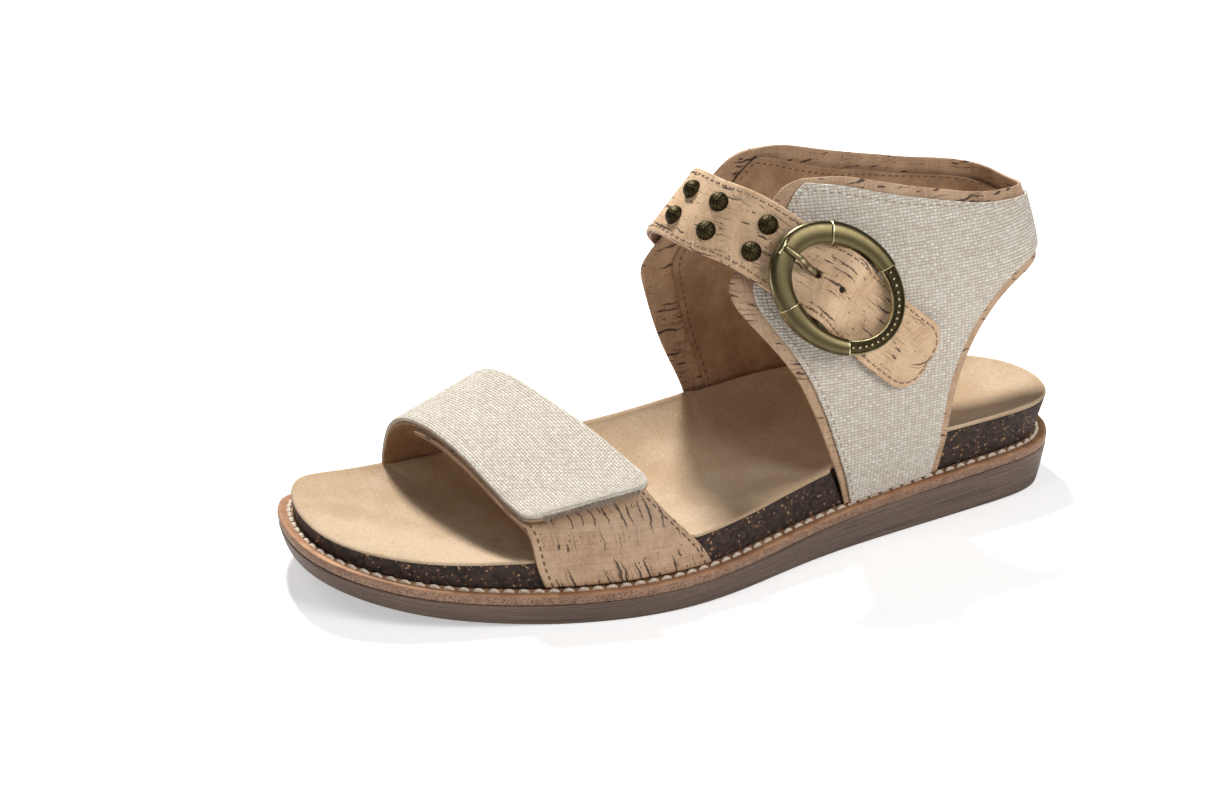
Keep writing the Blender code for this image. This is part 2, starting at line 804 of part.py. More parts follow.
def strap_between_edges(table, steps, columns, corner):
    """Grid of a forefoot strap from the rows of its two edges; corner rounds its far end."""
    rows = np.array(table)
    middle = (rows[:, :3] + rows[:, 3:]) / 2
    length = np.concatenate([[0.0], np.cumsum(np.linalg.norm(np.diff(middle, axis=0), axis=1))])
    lines = [curve(length, rows[:, k]) for k in range(6)]
    if corner:
        straight = np.linspace(0, length[-1] - corner, steps - CORNER_STEPS)
        turns = np.linspace(0, math.pi / 2, CORNER_STEPS + 1)[1:]
        turned = length[-1] - corner * (1 - np.sin(turns))
        places = np.concatenate([straight, turned])
    else:
        places = np.linspace(0, length[-1], steps)
    grid = np.zeros((columns, len(places), 3))
    for i, s in enumerate(places):
        front = np.array([float(line(s)) for line in lines[:3]])
        rear = np.array([float(line(s)) for line in lines[3:]])
        width = np.linalg.norm(rear - front)
        short = 0.0
        if corner:
            over = max(0.0, s - (length[-1] - corner))
            short = corner - math.sqrt(max(0.0, corner ** 2 - over ** 2))
        for j in range(columns):
            v = short / width + (1 - 2 * short / width) * j / (columns - 1)
            point = front + (rear - front) * v
            side = 1 if point[0] > 0 else -1
            bulge = side * float(leg_x(point[1], point[2], side)) - point[0]
            point[0] += bulge * float(smooth_step((SIDE_BULGE_TOP - point[2]) / SIDE_BULGE_FADE))
            grid[j, i] = point
    return grid


def on_welt(grid):
    """Grid lifted to stand on the welt where it would reach into it."""
    result = grid.copy()
    result[..., 2] = np.maximum(grid[..., 2], welt_top(grid[..., 1]) + GAP)
    return result


def upward_normals(grid):
    normal = grid_normals(grid)
    return normal * np.sign(normal[..., 2].mean())


def make_forefoot_straps():
    under = strap_between_edges(FOREFOOT_UNDER, UNDER_STEPS, FOREFOOT_COLUMNS, 0.0)
    under_inside = under - upward_normals(under) * FOREFOOT_UNDER_THICKNESS
    sheet_solid("forefoot_strap_under", on_welt(under), on_welt(under_inside), "cork_fabric")
    over = strap_between_edges(FOREFOOT_OVER, OVER_STEPS, FOREFOOT_COLUMNS, FOREFOOT_CORNER)
    over_inside = over - upward_normals(over) * FOREFOOT_OVER_THICKNESS
    sheet_solid("forefoot_strap_over", on_welt(over), on_welt(over_inside), "linen")


def instep_point(angle, z):
    """Point of the ankle form by the angle round its front, 0 outer side and 180 inner side."""
    width = float(ANKLE_WIDTH(z))
    depth = FRONT_CURVE_Y - instep_y(z)
    if angle < 0:
        return np.array((width, FRONT_CURVE_Y - depth * math.radians(angle), z))
    if angle > 180:
        return np.array((-width, FRONT_CURVE_Y + depth * math.radians(angle - 180), z))
    turn = math.radians(angle)
    side = 1 if angle <= 90 else -1
    power = 2 / FRONT_FULLNESS[side]
    x = side * width * abs(math.cos(turn)) ** power
    return np.array((x, FRONT_CURVE_Y - depth * math.sin(turn) ** power, z))


def instep_normal(angle, z):
    small = 0.5
    around = instep_point(angle + small, z) - instep_point(angle - small, z)
    up = instep_point(angle, z + small) - instep_point(angle, z - small)
    normal = np.cross(up, around)
    normal = normal / np.linalg.norm(normal)
    away = instep_point(angle, z) - np.array((0.0, ANKLE_MIDDLE_Y, z))
    return normal if normal @ away > 0 else -normal


class StrapLine:
    """Middle line of the instep strap, measured from the buckle bar towards the front."""

    def __init__(self):
        path_z = curve([row[0] for row in INSTEP_PATH], [row[1] for row in INSTEP_PATH])
        angles = np.linspace(INSTEP_PATH[0][0], INSTEP_PATH[-1][0], LINE_STEPS)
        points = np.array([instep_point(a, float(path_z(a))) for a in angles])
        length = np.concatenate([[0.0], np.cumsum(np.linalg.norm(np.diff(points, axis=0), axis=1))])
        self.zero = float(np.interp(BUCKLE_ANGLE, angles, length))
        self.start = -self.zero
        self.end = float(length[-1]) - self.zero
        self.angles = angles
        self.length = length
        self.path_z = path_z

    def place(self, along):
        """Angle and height of a point of the line."""
        angle = float(np.interp(along + self.zero, self.length, self.angles))
        return angle, float(self.path_z(angle))

    def frame(self, along):
        """Point on the ankle form, direction along, direction across and normal."""
        angle, z = self.place(along)
        before = instep_point(*self.place(along - LINE_NUDGE))
        after = instep_point(*self.place(along + LINE_NUDGE))
        tangent = (after - before) / np.linalg.norm(after - before)
        normal = instep_normal(angle, z)
        across = np.cross(normal, tangent)
        across /= np.linalg.norm(across)
        if across[2] < 0:
            across = -across
        normal = normal - tangent * (normal @ tangent)
        normal /= np.linalg.norm(normal)
        return instep_point(angle, z), tangent, across, normal


STRAP = StrapLine()


def strap_lift(along):
    """Height of the strap's under face over the ankle form, with its hump over the bar."""
    return INSTEP_LIFT + BAR_RISE * math.exp(-(along / BAR_REACH) ** 2)


def strap_face(along, across, height):
    """Point over the under face of the strap."""
    point, _, cross, normal = STRAP.frame(along)
    return point + cross * across + normal * (strap_lift(along) + height)


def instep_places():
    """Steps along the strap, closer at its rounded end and over the bar."""
    turns = np.linspace(0, math.pi / 2, CORNER_STEPS + 1)[:-1]
    turned = STRAP.start + INSTEP_CORNER * (1 - np.cos(turns))
    near = np.arange(STRAP.start + INSTEP_CORNER, HUMP_END, HUMP_STEP)
    far = np.linspace(HUMP_END, STRAP.end, INSTEP_FAR_STEPS)
    return np.concatenate([turned, near, far])


def make_instep_strap():
    places = instep_places()
    outer = np.zeros((INSTEP_COLUMNS, len(places), 3))
    inner = np.zeros_like(outer)
    for i, along in enumerate(places):
        over = max(0.0, STRAP.start + INSTEP_CORNER - along)
        short = INSTEP_CORNER - math.sqrt(max(0.0, INSTEP_CORNER ** 2 - over ** 2))
        half = INSTEP_WIDTH / 2 - short
        for j in range(INSTEP_COLUMNS):
            across = half * (2 * j / (INSTEP_COLUMNS - 1) - 1)
            outer[j, i] = strap_face(along, across, INSTEP_THICKNESS)
            inner[j, i] = strap_face(along, across, 0.0)
    return sheet_solid("instep_strap", outer, inner, "cork_fabric")


def buckle_frame():
    """Centre of the buckle over its seat, and its long, short and outward directions."""
    point, tangent, across, normal = STRAP.frame(0.0)
    return point + normal * (BUCKLE_SEAT + BUCKLE_HEIGHT / 2), tangent, across, normal


def make_buckle():
    centre, long_way, short_way, normal = buckle_frame()
    points = []
    for i in range(BUCKLE_TURNS):
        turn = 2 * math.pi * i / BUCKLE_TURNS
        way = np.array((math.cos(turn), math.sin(turn)))
        outer = way * (BUCKLE_LONG, BUCKLE_SHORT)
        inner = way * (BUCKLE_LONG - BUCKLE_BAND, BUCKLE_SHORT - BUCKLE_BAND)
        for k in range(BUCKLE_SIDES):
            around = 2 * math.pi * (k + 0.5) / BUCKLE_SIDES
            flat = (outer + inner) / 2 + (outer - inner) / 2 * math.cos(around)
            height = BUCKLE_HEIGHT / 2 * math.sin(around)
            points.append(centre + long_way * flat[0] + short_way * flat[1] + normal * height)
    faces = []
    for i in range(BUCKLE_TURNS):
        here = i * BUCKLE_SIDES
        following = (i + 1) % BUCKLE_TURNS * BUCKLE_SIDES
        for k in range(BUCKLE_SIDES):
            j = (k + 1) % BUCKLE_SIDES
            faces.append((here + k, here + j, following + j, following + k))
    ring = solid("buckle_ring", points, faces, "antique_brass")
    bar = make_bar(centre - normal * BAR_DROP, short_way)
    union = ring.modifiers.new("bar", "BOOLEAN")
    union.operation = "UNION"
    union.solver = "EXACT"
    union.object = bar
    bar.hide_render = True
    bar.display_type = "WIRE"
    return ring


def make_bar(centre, direction):
    """Bar across the buckle, the strap's seat."""
    half = BUCKLE_SHORT - BUCKLE_BAND / 2
    points = []
    up = np.cross(direction, (0.0, 1.0, 0.0))
    up /= np.linalg.norm(up)
    out = np.cross(direction, up)
    for end in (-half, half):
        for k in range(BAR_SIDES):
            turn = 2 * math.pi * (k + 0.5) / BAR_SIDES
            spoke = up * math.cos(turn) + out * math.sin(turn)
            points.append(centre + direction * end + spoke * BAR_RADIUS)
    faces = [tuple(range(BAR_SIDES)), tuple(range(2 * BAR_SIDES - 1, BAR_SIDES - 1, -1))]
    for k in range(BAR_SIDES):
        j = (k + 1) % BAR_SIDES
        faces.append((k, j, BAR_SIDES + j, BAR_SIDES + k))
    return solid("bar_cutter", points, faces, "antique_brass")


def make_prong():
    """Prong from the strap up over the front rim of the buckle."""
    centre, long_way, short_way, normal = buckle_frame()
    sides = len(PRONG_PROFILE)
    top = BUCKLE_HEIGHT / 2 + GAP + PRONG_HEIGHT / 2
    points = []
    for i in range(PRONG_SECTIONS):
        share = i / (PRONG_SECTIONS - 1)
        along = BUCKLE_LONG - PRONG_SHORT - PRONG_LENGTH * (1 - share)
        strap_top = strap_lift(along) + INSTEP_THICKNESS - BUCKLE_SEAT - BUCKLE_HEIGHT / 2
        low = strap_top + 2 * GAP + PRONG_HEIGHT / 2
        height = low
        if i > 0:
            height = max(low, top - PRONG_DIP * (1 - share) ** 2 * share)
        half_width = PRONG_WIDTH / 2 * (1 - PRONG_TAPER * share)
        half_height = PRONG_HEIGHT / 2 * (1 - PRONG_TAPER * share)
        middle = centre + long_way * along + normal * height
        for across, up in PRONG_PROFILE:
            points.append(middle + short_way * across * half_width + normal * up * half_height)
    last = sides * PRONG_SECTIONS
    faces = [tuple(range(sides)), tuple(range(last - 1, last - sides - 1, -1))]
    faces += ring_walls(0, sides, PRONG_SECTIONS)
    return solid("buckle_prong", points, faces, "antique_brass")


def make_stud(name, along, across):
    """Domed stud, seated on the face of the strap."""
    _, tangent, cross, normal = STRAP.frame(along)
    seat = strap_face(along, across, INSTEP_THICKNESS + GAP)
    points = []
    for k in range(STUD_RINGS):
        lift = math.pi / 2 * k / STUD_RINGS
        radius = STUD_RADIUS * math.cos(lift)
        height = STUD_HEIGHT * math.sin(lift)
        for i in range(STUD_SIDES):
            turn = 2 * math.pi * i / STUD_SIDES
            spoke = tangent * math.cos(turn) + cross * math.sin(turn)
            points.append(seat + spoke * radius + normal * height)
    points.append(seat + normal * STUD_HEIGHT)
    faces = [tuple(range(STUD_SIDES))]
    faces += ring_walls(0, STUD_SIDES, STUD_RINGS)
    top = STUD_RINGS * STUD_SIDES
    last = top - STUD_SIDES
    for i in range(STUD_SIDES):
        faces.append((last + i, last + (i + 1) % STUD_SIDES, top))
    return solid(name, points, faces, "antique_brass")


def make_studs():
    number = 0
    for along in STUD_PAIRS:
        for side in (1, -1):
            number += 1
            make_stud(f"strap_stud_{number}", along, side * STUD_ACROSS)


def main():
    clear_scene()
    make_outsole()
    make_welt()
    make_footbed()
    make_insole_cover()
    make_forefoot_straps()
    make_cuff()
    make_instep_strap()
    make_buckle()
    make_prong()
    make_studs()


main()
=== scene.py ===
# %% [markdown]
# Cork footbed sandal
#
# This lesson dresses a left sandal whose plain solids come from a CAD model.
# The solids give the sizes, and each cell here builds one piece of the real shoe over them:
# rubber outsole, stitched welt, cork footbed, suede cover, straps, cuff, buckle and studs.
# Everything is in millimetres until a mesh is made, and X points to the outer side of the foot,
# Y to the heel and Z up.

# %% Load the frame
import math

import bmesh
import bpy
import numpy as np
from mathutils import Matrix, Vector


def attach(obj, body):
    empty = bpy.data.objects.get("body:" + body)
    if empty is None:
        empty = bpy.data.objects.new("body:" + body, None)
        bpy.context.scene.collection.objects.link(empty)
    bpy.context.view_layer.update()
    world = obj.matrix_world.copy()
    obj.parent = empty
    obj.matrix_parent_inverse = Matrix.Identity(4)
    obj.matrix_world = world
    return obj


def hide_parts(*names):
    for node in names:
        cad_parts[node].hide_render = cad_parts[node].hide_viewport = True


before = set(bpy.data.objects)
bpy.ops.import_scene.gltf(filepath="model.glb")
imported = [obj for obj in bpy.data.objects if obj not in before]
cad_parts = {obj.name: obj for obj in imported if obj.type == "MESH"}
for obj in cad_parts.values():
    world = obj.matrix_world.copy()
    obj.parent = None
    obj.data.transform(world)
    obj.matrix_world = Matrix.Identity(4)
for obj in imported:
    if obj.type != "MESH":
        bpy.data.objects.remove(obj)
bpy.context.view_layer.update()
MM = 0.001
# The tables measure x from the middle of the heel; this moves the outline onto the origin
MIDDLE_X = 2.468
print("nodes:", len(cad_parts))

# %% [markdown]
# Camera and light
#
# The picture was taken from the outer side, a little towards the toe and from above, with a long
# lens.  A camera in Blender looks along its own minus Z, so its rotation is built from the
# direction back to the camera.  The key light stands high on the inner side, because the forefoot
# strap throws its shadow outwards on the insole, and a wide softer light fills the outer side.

# %% Camera
CAMERA_PLACE = Vector((654.2 - MIDDLE_X, -345.4, 345.9)) * MM
CAMERA_BACK = Vector((0.832, -0.406, 0.378)).normalized()
LENS = 74.08
camera_data = bpy.data.cameras.new("camera")
camera_data.lens = LENS
camera_data.sensor_width = 36.0
camera = bpy.data.objects.new("camera", camera_data)
camera.location = CAMERA_PLACE
camera.rotation_euler = CAMERA_BACK.to_track_quat("Z", "Y").to_euler()
bpy.context.collection.objects.link(camera)
bpy.context.scene.camera = camera
bpy.context.scene.view_settings.view_transform = "Standard"
print("camera at", tuple(round(v, 3) for v in CAMERA_PLACE))


# %% Lights and floor
def softbox(name, place, size, power, colour):
    """Square area light that faces the middle of the sandal."""
    data = bpy.data.lights.new(name, "AREA")
    data.shape = "SQUARE"
    data.size = size
    data.energy = power
    data.color = colour
    light = bpy.data.objects.new(name, data)
    light.location = place
    aim = Vector((0.0, 0.0, 0.04)) - Vector(place)
    light.rotation_euler = aim.to_track_quat("-Z", "Y").to_euler()
    bpy.context.collection.objects.link(light)


softbox("key", (-0.66, 0.03, 1.12), 0.20, 24.0, (1.0, 0.98, 0.95))
softbox("fill_front", (0.2, -0.75, 1.1), 0.5, 1.8, (1.0, 0.98, 0.95))
softbox("fill_heel", (1.0, 0.38, 0.74), 0.6, 8.5, (1.0, 0.99, 0.97))

world = bpy.data.worlds.new("studio")
world.use_nodes = True
world.node_tree.nodes["Background"].inputs["Color"].default_value = (1.0, 1.0, 1.0, 1.0)
world.node_tree.nodes["Background"].inputs["Strength"].default_value = 0.11
bpy.context.scene.world = world

FLOOR_GLOW = 0.48
floor_mesh = bpy.data.meshes.new("floor")
floor_mesh.from_pydata([(-6, -6, 0), (6, -6, 0), (6, 6, 0), (-6, 6, 0)], [], [(0, 1, 2, 3)])
floor = bpy.data.objects.new("floor", floor_mesh)
bpy.context.collection.objects.link(floor)
floor_finish = bpy.data.materials.new("pale_floor")
floor_finish.use_nodes = True
floor_shader = floor_finish.node_tree.nodes["Principled BSDF"]
floor_shader.inputs["Base Color"].default_value = (0.93, 0.93, 0.935, 1.0)
floor_shader.inputs["Roughness"].default_value = 0.9
# The paper shines a little for the camera alone, so that it turns white round the shadow
floor_nodes = floor_finish.node_tree
seen = floor_nodes.nodes.new("ShaderNodeLightPath").outputs["Is Camera Ray"]
floor_shader.inputs["Emission Color"].default_value = (1.0, 1.0, 1.0, 1.0)
glow = floor_nodes.nodes.new("ShaderNodeMath")
glow.operation = "MULTIPLY"
glow.inputs[1].default_value = FLOOR_GLOW
floor_nodes.links.new(seen, glow.inputs[0])
floor_nodes.links.new(glow.outputs[0], floor_shader.inputs["Emission Strength"])
floor_mesh.materials.append(floor_finish)

# %% [markdown]
# Shader tools
#
# Cork, suede, linen, rubber and brass all need noise, bump and mixed colours.  Writing out each
# node by hand hides the recipe, so a small helper places a node, sets its values and links it.
# The effects that several finishes share are node groups with named sockets.


# %% Node helpers
class Graph:
    """Short way to place and link the nodes of one material or group."""

    def __init__(self, tree):
        self.tree = tree

    def add(self, kind, settings=None, **inputs):
        """New node with its settings; an underscore in an input's name stands for a space."""
        node = self.tree.nodes.new(kind)
        for key, value in (settings or {}).items():
            setattr(node, key, value)
        for key, value in inputs.items():
            self.put(node, key.replace("_", " "), value)
        return node

    def put(self, node, key, value):
        """Link a socket to an input, or set the input to a number or colour."""
        socket = node.inputs[int(key)] if key.isdigit() else node.inputs[key]
        if isinstance(value, bpy.types.NodeSocket):
            self.tree.links.new(value, socket)
        elif hasattr(socket.default_value, "__len__") and not hasattr(value, "__len__"):
            socket.default_value = [value] * len(socket.default_value)
        elif hasattr(value, "__len__") and socket.type == "RGBA":
            socket.default_value = (*value, 1.0)
        else:
            socket.default_value = value

    def math(self, kind, a, b=0.0, clamp=False):
        node = self.tree.nodes.new("ShaderNodeMath")
        node.operation = kind
        node.use_clamp = clamp
        self.put(node, "0", a)
        self.put(node, "1", b)
        return node.outputs[0]

    def times(self, a, b):
        return self.math("MULTIPLY", a, b)

    def plus(self, a, b):
        return self.math("ADD", a, b)

    def minus(self, a, b):
        return self.math("SUBTRACT", a, b)

    def ramp(self, value, low, high, from_value=0.0, to_value=1.0):
        """Smooth step of a value between two limits."""
        node = self.add("ShaderNodeMapRange", {"interpolation_type": "SMOOTHSTEP"}, Value=value)
        names = ("From Min", "From Max", "To Min", "To Max")
        for key, limit in zip(names, (low, high, from_value, to_value)):
            node.inputs[key].default_value = limit
        return node.outputs["Result"]

    def mix(self, share, a, b):
        node = self.tree.nodes.new("ShaderNodeMix")
        node.data_type = "RGBA"
        self.put(node, "0", share)
        self.put(node, "6", a)
        self.put(node, "7", b)
        return node.outputs[2]

    def noise(self, place, scale, detail=3.0, roughness=0.55):
        node = self.add("ShaderNodeTexNoise", None, Vector=place, Scale=scale, Detail=detail)
        node.inputs["Roughness"].default_value = roughness
        return node.outputs["Fac"]

    def stretched(self, place, scale):
        """Place with its axes scaled, which turns round spots into long marks."""
        node = self.add("ShaderNodeVectorMath", {"operation": "MULTIPLY"})
        self.put(node, "0", place)
        node.inputs[1].default_value = scale
        return node.outputs[0]

    def shifted(self, place, other, amount):
        """Place moved by a noise colour, which makes straight marks wander."""
        middle = self.add("ShaderNodeVectorMath", {"operation": "SUBTRACT"})
        self.put(middle, "0", other)
        middle.inputs[1].default_value = (0.5, 0.5, 0.5)
        node = self.add("ShaderNodeVectorMath", {"operation": "MULTIPLY_ADD"})
        self.put(node, "0", middle.outputs[0])
        node.inputs[1].default_value = (amount, amount, amount)
        self.put(node, "2", place)
        return node.outputs[0]


def new_group(name, inputs, outputs):
    """Node group with named sockets: inputs as (name, type, value), outputs as (name, type)."""
    tree = bpy.data.node_groups.new(name, "ShaderNodeTree")
    for label, kind, value in inputs:
        socket = tree.interface.new_socket(label, in_out="INPUT", socket_type=kind)
        if value is not None:
            socket.default_value = value
    for label, kind in outputs:
        tree.interface.new_socket(label, in_out="OUTPUT", socket_type=kind)
    graph = Graph(tree)
    return graph, tree.nodes.new("NodeGroupInput").outputs, tree.nodes.new("NodeGroupOutput")


def place_group(graph, name, **inputs):
    """Shared group placed in a material, with its own values; returns its outputs."""
    node = graph.tree.nodes.new("ShaderNodeGroup")
    node.node_tree = bpy.data.node_groups[name]
    for key, value in inputs.items():
        graph.put(node, key.replace("_", " "), value)
    return node.outputs


def new_finish(name, roughness, metallic=0.0, coat=0.0, sheen=0.0):
    """Material with its Principled shader, its graph and the cloth coordinates in millimetres."""
    material = bpy.data.materials.new(name)
    material.use_nodes = True
    shader = material.node_tree.nodes["Principled BSDF"]
    values = {"Roughness": roughness, "Metallic": metallic, "Coat Weight": coat, "Sheen Weight": sheen}
    for key, value in values.items():
        shader.inputs[key].default_value = value
    graph = Graph(material.node_tree)
    cloth = graph.add("ShaderNodeUVMap", {"uv_map": "cloth"}).outputs["UV"]
    space = graph.stretched(graph.add("ShaderNodeTexCoord").outputs["Object"], (1000.0,) * 3)
    return material, graph, shader, cloth, space


def bump(graph, shader, height, strength, distance):
    """Relief on the shader's normal; the distance is its depth in millimetres."""
    node = graph.add("ShaderNodeBump", None, Height=height, Strength=strength)
    node.inputs["Distance"].default_value = distance * MM
    graph.tree.links.new(node.outputs["Normal"], shader.inputs["Normal"])


print("helpers ready")

# %% [markdown]
# Shared effects
#
# Mottle gives the slow light and dark clouds that hide and cork have.  Grain gives the fine
# speckle of nap or granules.  Weave makes over-and-under threads from two sine waves, because
# a woven cloth is a checkerboard of small pillows.

# %% Mottle and grain groups
g, given, result = new_group(
    "mottle",
    [("Place", "NodeSocketVector", None), ("Size", "NodeSocketFloat", 0.05),
     ("Light", "NodeSocketColor", (1, 1, 1, 1)), ("Dark", "NodeSocketColor", (0, 0, 0, 1))],
    [("Color", "NodeSocketColor")],
)
clouds = g.ramp(g.noise(given["Place"], given["Size"], 5.0, 0.6), 0.36, 0.66)
g.tree.links.new(g.mix(clouds, given["Dark"], given["Light"]), result.inputs["Color"])

g, given, result = new_group(
    "grain",
    [("Place", "NodeSocketVector", None), ("Size", "NodeSocketFloat", 1.0),
     ("Color", "NodeSocketColor", (1, 1, 1, 1)), ("Depth", "NodeSocketFloat", 0.3)],
    [("Color", "NodeSocketColor"), ("Height", "NodeSocketFloat")],
)
fine = g.noise(given["Place"], given["Size"], 2.0, 0.7)
shade = g.times(g.minus(fine, 0.5), given["Depth"])
shade = g.plus(g.times(shade, 2.0), 1.0)
lit = g.add("ShaderNodeVectorMath", {"operation": "SCALE"})
g.put(lit, "0", given["Color"])
g.put(lit, "Scale", shade)
g.tree.links.new(lit.outputs[0], result.inputs["Color"])
g.tree.links.new(fine, result.inputs["Height"])
print("groups:", [t.name for t in bpy.data.node_groups])

# %% Weave group
g, given, result = new_group(
    "weave",
    [("Cloth", "NodeSocketVector", None), ("Pitch U", "NodeSocketFloat", 1.2),
     ("Pitch V", "NodeSocketFloat", 0.8), ("Repeat", "NodeSocketFloat", 2.0)],
    [("Height", "NodeSocketFloat"), ("Gap Shade", "NodeSocketFloat"), ("Thread", "NodeSocketFloat")],
)
wobble = g.add("ShaderNodeTexNoise", None, Vector=given["Cloth"], Scale=0.35, Detail=2.0)
cloth = g.shifted(given["Cloth"], wobble.outputs["Color"], 0.55)
split = g.add("ShaderNodeSeparateXYZ", None, Vector=cloth).outputs
along = g.math("DIVIDE", split["X"], given["Pitch U"])
across = g.math("DIVIDE", split["Y"], given["Pitch V"])
wave_u = g.math("ABSOLUTE", g.math("SINE", g.times(along, math.pi)))
wave_v = g.math("ABSOLUTE", g.math("SINE", g.times(across, math.pi)))
odd = g.plus(g.math("FLOOR", along), g.math("FLOOR", across))
over = g.math("GREATER_THAN", g.math("FRACT", g.math("DIVIDE", odd, given["Repeat"])), 0.25)
pillow_u = g.times(g.math("POWER", wave_u, 0.4), g.math("POWER", wave_v, 0.8))
pillow_v = g.times(g.math("POWER", wave_v, 0.8), g.math("POWER", wave_u, 0.35))
low = g.times(pillow_v, 0.58)
height = g.plus(low, g.times(g.minus(pillow_u, low), over))
cell = g.add("ShaderNodeCombineXYZ", None, X=g.math("FLOOR", along), Y=g.math("FLOOR", across))
tone = g.add("ShaderNodeTexWhiteNoise", None, Vector=cell.outputs[0]).outputs["Value"]
g.tree.links.new(height, result.inputs["Height"])
# The gap output marks where the threads part; the linen finish darkens it there as painted shade
g.tree.links.new(g.ramp(height, 0.62, 0.12), result.inputs["Gap Shade"])
g.tree.links.new(tone, result.inputs["Thread"])
print("weave sockets:", [s.name for s in g.tree.interface.items_tree])

# %% [markdown]
# Cork cloth
#
# Cork cloth is a thin shaving of bark glued on fabric.  Its face is warm tan with fine streaks,
# and dark lenticels and cracks run mostly one way and break off.  Painted cracks would need a
# picture, so stretched Voronoi cells are used: a few cells, picked by their random colour, each
# show a narrow dark lens, and a second, finer set gives the hairlines.


# %% Crack group
def crack_marks(graph, place, scale, share, width, seed):
    """Mask of narrow dark lenses, one in a share of the stretched cells."""
    moved = graph.add("ShaderNodeVectorMath", {"operation": "ADD"})
    graph.put(moved, "0", graph.stretched(place, scale))
    moved.inputs[1].default_value = (seed, seed * 1.7, 0.0)
    cells = graph.add("ShaderNodeTexVoronoi", {"voronoi_dimensions": "2D"}, Vector=moved.outputs[0])
    cells.inputs["Scale"].default_value = 1.0
    pick = graph.add("ShaderNodeSeparateColor", None, Color=cells.outputs["Color"]).outputs
    chosen = graph.math("LESS_THAN", pick[0], share)
    reach = graph.plus(graph.times(pick[1], width * 0.8), width * 0.5)
    near = graph.math("SUBTRACT", 1.0, graph.math("DIVIDE", cells.outputs["Distance"], reach), True)
    return graph.times(graph.ramp(near, 0.0, 0.45), chosen)


g, given, result = new_group(
    "cork_cracks",
    [("Cloth", "NodeSocketVector", None)],
    [("Crack", "NodeSocketFloat"), ("Streak", "NodeSocketFloat")],
)
bend = g.add("ShaderNodeTexNoise", None, Vector=given["Cloth"], Scale=0.22, Detail=4.0)
wavy = g.shifted(given["Cloth"], bend.outputs["Color"], 2.6)
ragged = g.add("ShaderNodeTexNoise", None, Vector=given["Cloth"], Scale=1.1, Detail=3.0)
wavy = g.shifted(wavy, ragged.outputs["Color"], 0.7)
long_marks = crack_marks(g, wavy, (0.045, 0.75, 1.0), 0.17, 0.30, 3.0)
short_marks = crack_marks(g, wavy, (0.15, 0.8, 1.0), 0.09, 0.30, 11.0)
hairlines = crack_marks(g, wavy, (0.07, 1.7, 1.0), 0.20, 0.28, 27.0)
pores = crack_marks(g, wavy, (0.7, 1.3, 1.0), 0.05, 0.36, 41.0)
crack = g.math("MAXIMUM", g.math("MAXIMUM", long_marks, g.times(pores, 0.7)),
               g.math("MAXIMUM", short_marks, g.times(hairlines, 0.6)))
along_grain = g.noise(g.stretched(wavy, (0.16, 2.2, 1.0)), 1.0, 4.0, 0.7)
cross_grain = g.noise(g.stretched(given["Cloth"], (1.5, 0.07, 1.0)), 1.0, 3.0, 0.6)
streaks = g.plus(g.times(along_grain, 0.55), g.times(cross_grain, 0.45))
g.tree.links.new(crack, result.inputs["Crack"])
g.tree.links.new(streaks, result.inputs["Streak"])
print("cork cracks ready")


# %% Cork cloth finish
def cork_cloth(name, light, dark, crack_colour):
    """Clouded and streaked bark, with cracks cut into it."""
    material, graph, shader, cloth, space = new_finish(name, 0.62, coat=0.06)
    cork = place_group(graph, "cork_cracks", Cloth=cloth)
    base = place_group(graph, "mottle", Place=space, Size=0.11, Light=light, Dark=dark)["Color"]
    streak = graph.ramp(cork["Streak"], 0.38, 0.62)
    base = graph.mix(graph.times(streak, 0.6), base, tuple(v * 1.25 for v in light))
    grained = place_group(graph, "grain", Place=space, Size=1.9, Color=base, Depth=0.2)
    colour = graph.mix(graph.times(cork["Crack"], 0.9), grained["Color"], crack_colour)
    graph.put(shader, "Base Color", colour)
    relief = graph.minus(graph.times(grained["Height"], 0.25), cork["Crack"])
    relief = graph.plus(relief, graph.times(cork["Streak"], 0.2))
    bump(graph, shader, relief, 0.6, 0.35)
    return material


CORK = cork_cloth("cork_cloth", (0.47, 0.315, 0.20), (0.34, 0.205, 0.12), (0.04, 0.018, 0.010))
# The instep strap is the same cork in a paler copy: painted light for the light that falls on the strap
CORK_PAINTED_LIGHT = cork_cloth("cork_cloth_painted_light", (0.62, 0.43, 0.265), (0.47, 0.30, 0.175), (0.045, 0.02, 0.011))
CORK_EDGE = cork_cloth("cork_cloth_edge", (0.33, 0.185, 0.105), (0.20, 0.105, 0.058), (0.08, 0.04, 0.022))
print("cork:", CORK.name, CORK_PAINTED_LIGHT.name, CORK_EDGE.name)

# %% [markdown]
# Linen and suede
#
# The linen is undyed: grey-white threads with warm shadows between them.  Suede is a nap of fine
# hairs, so it has no gloss, a soft sheen at grazing angles and cloudy light and dark strokes.


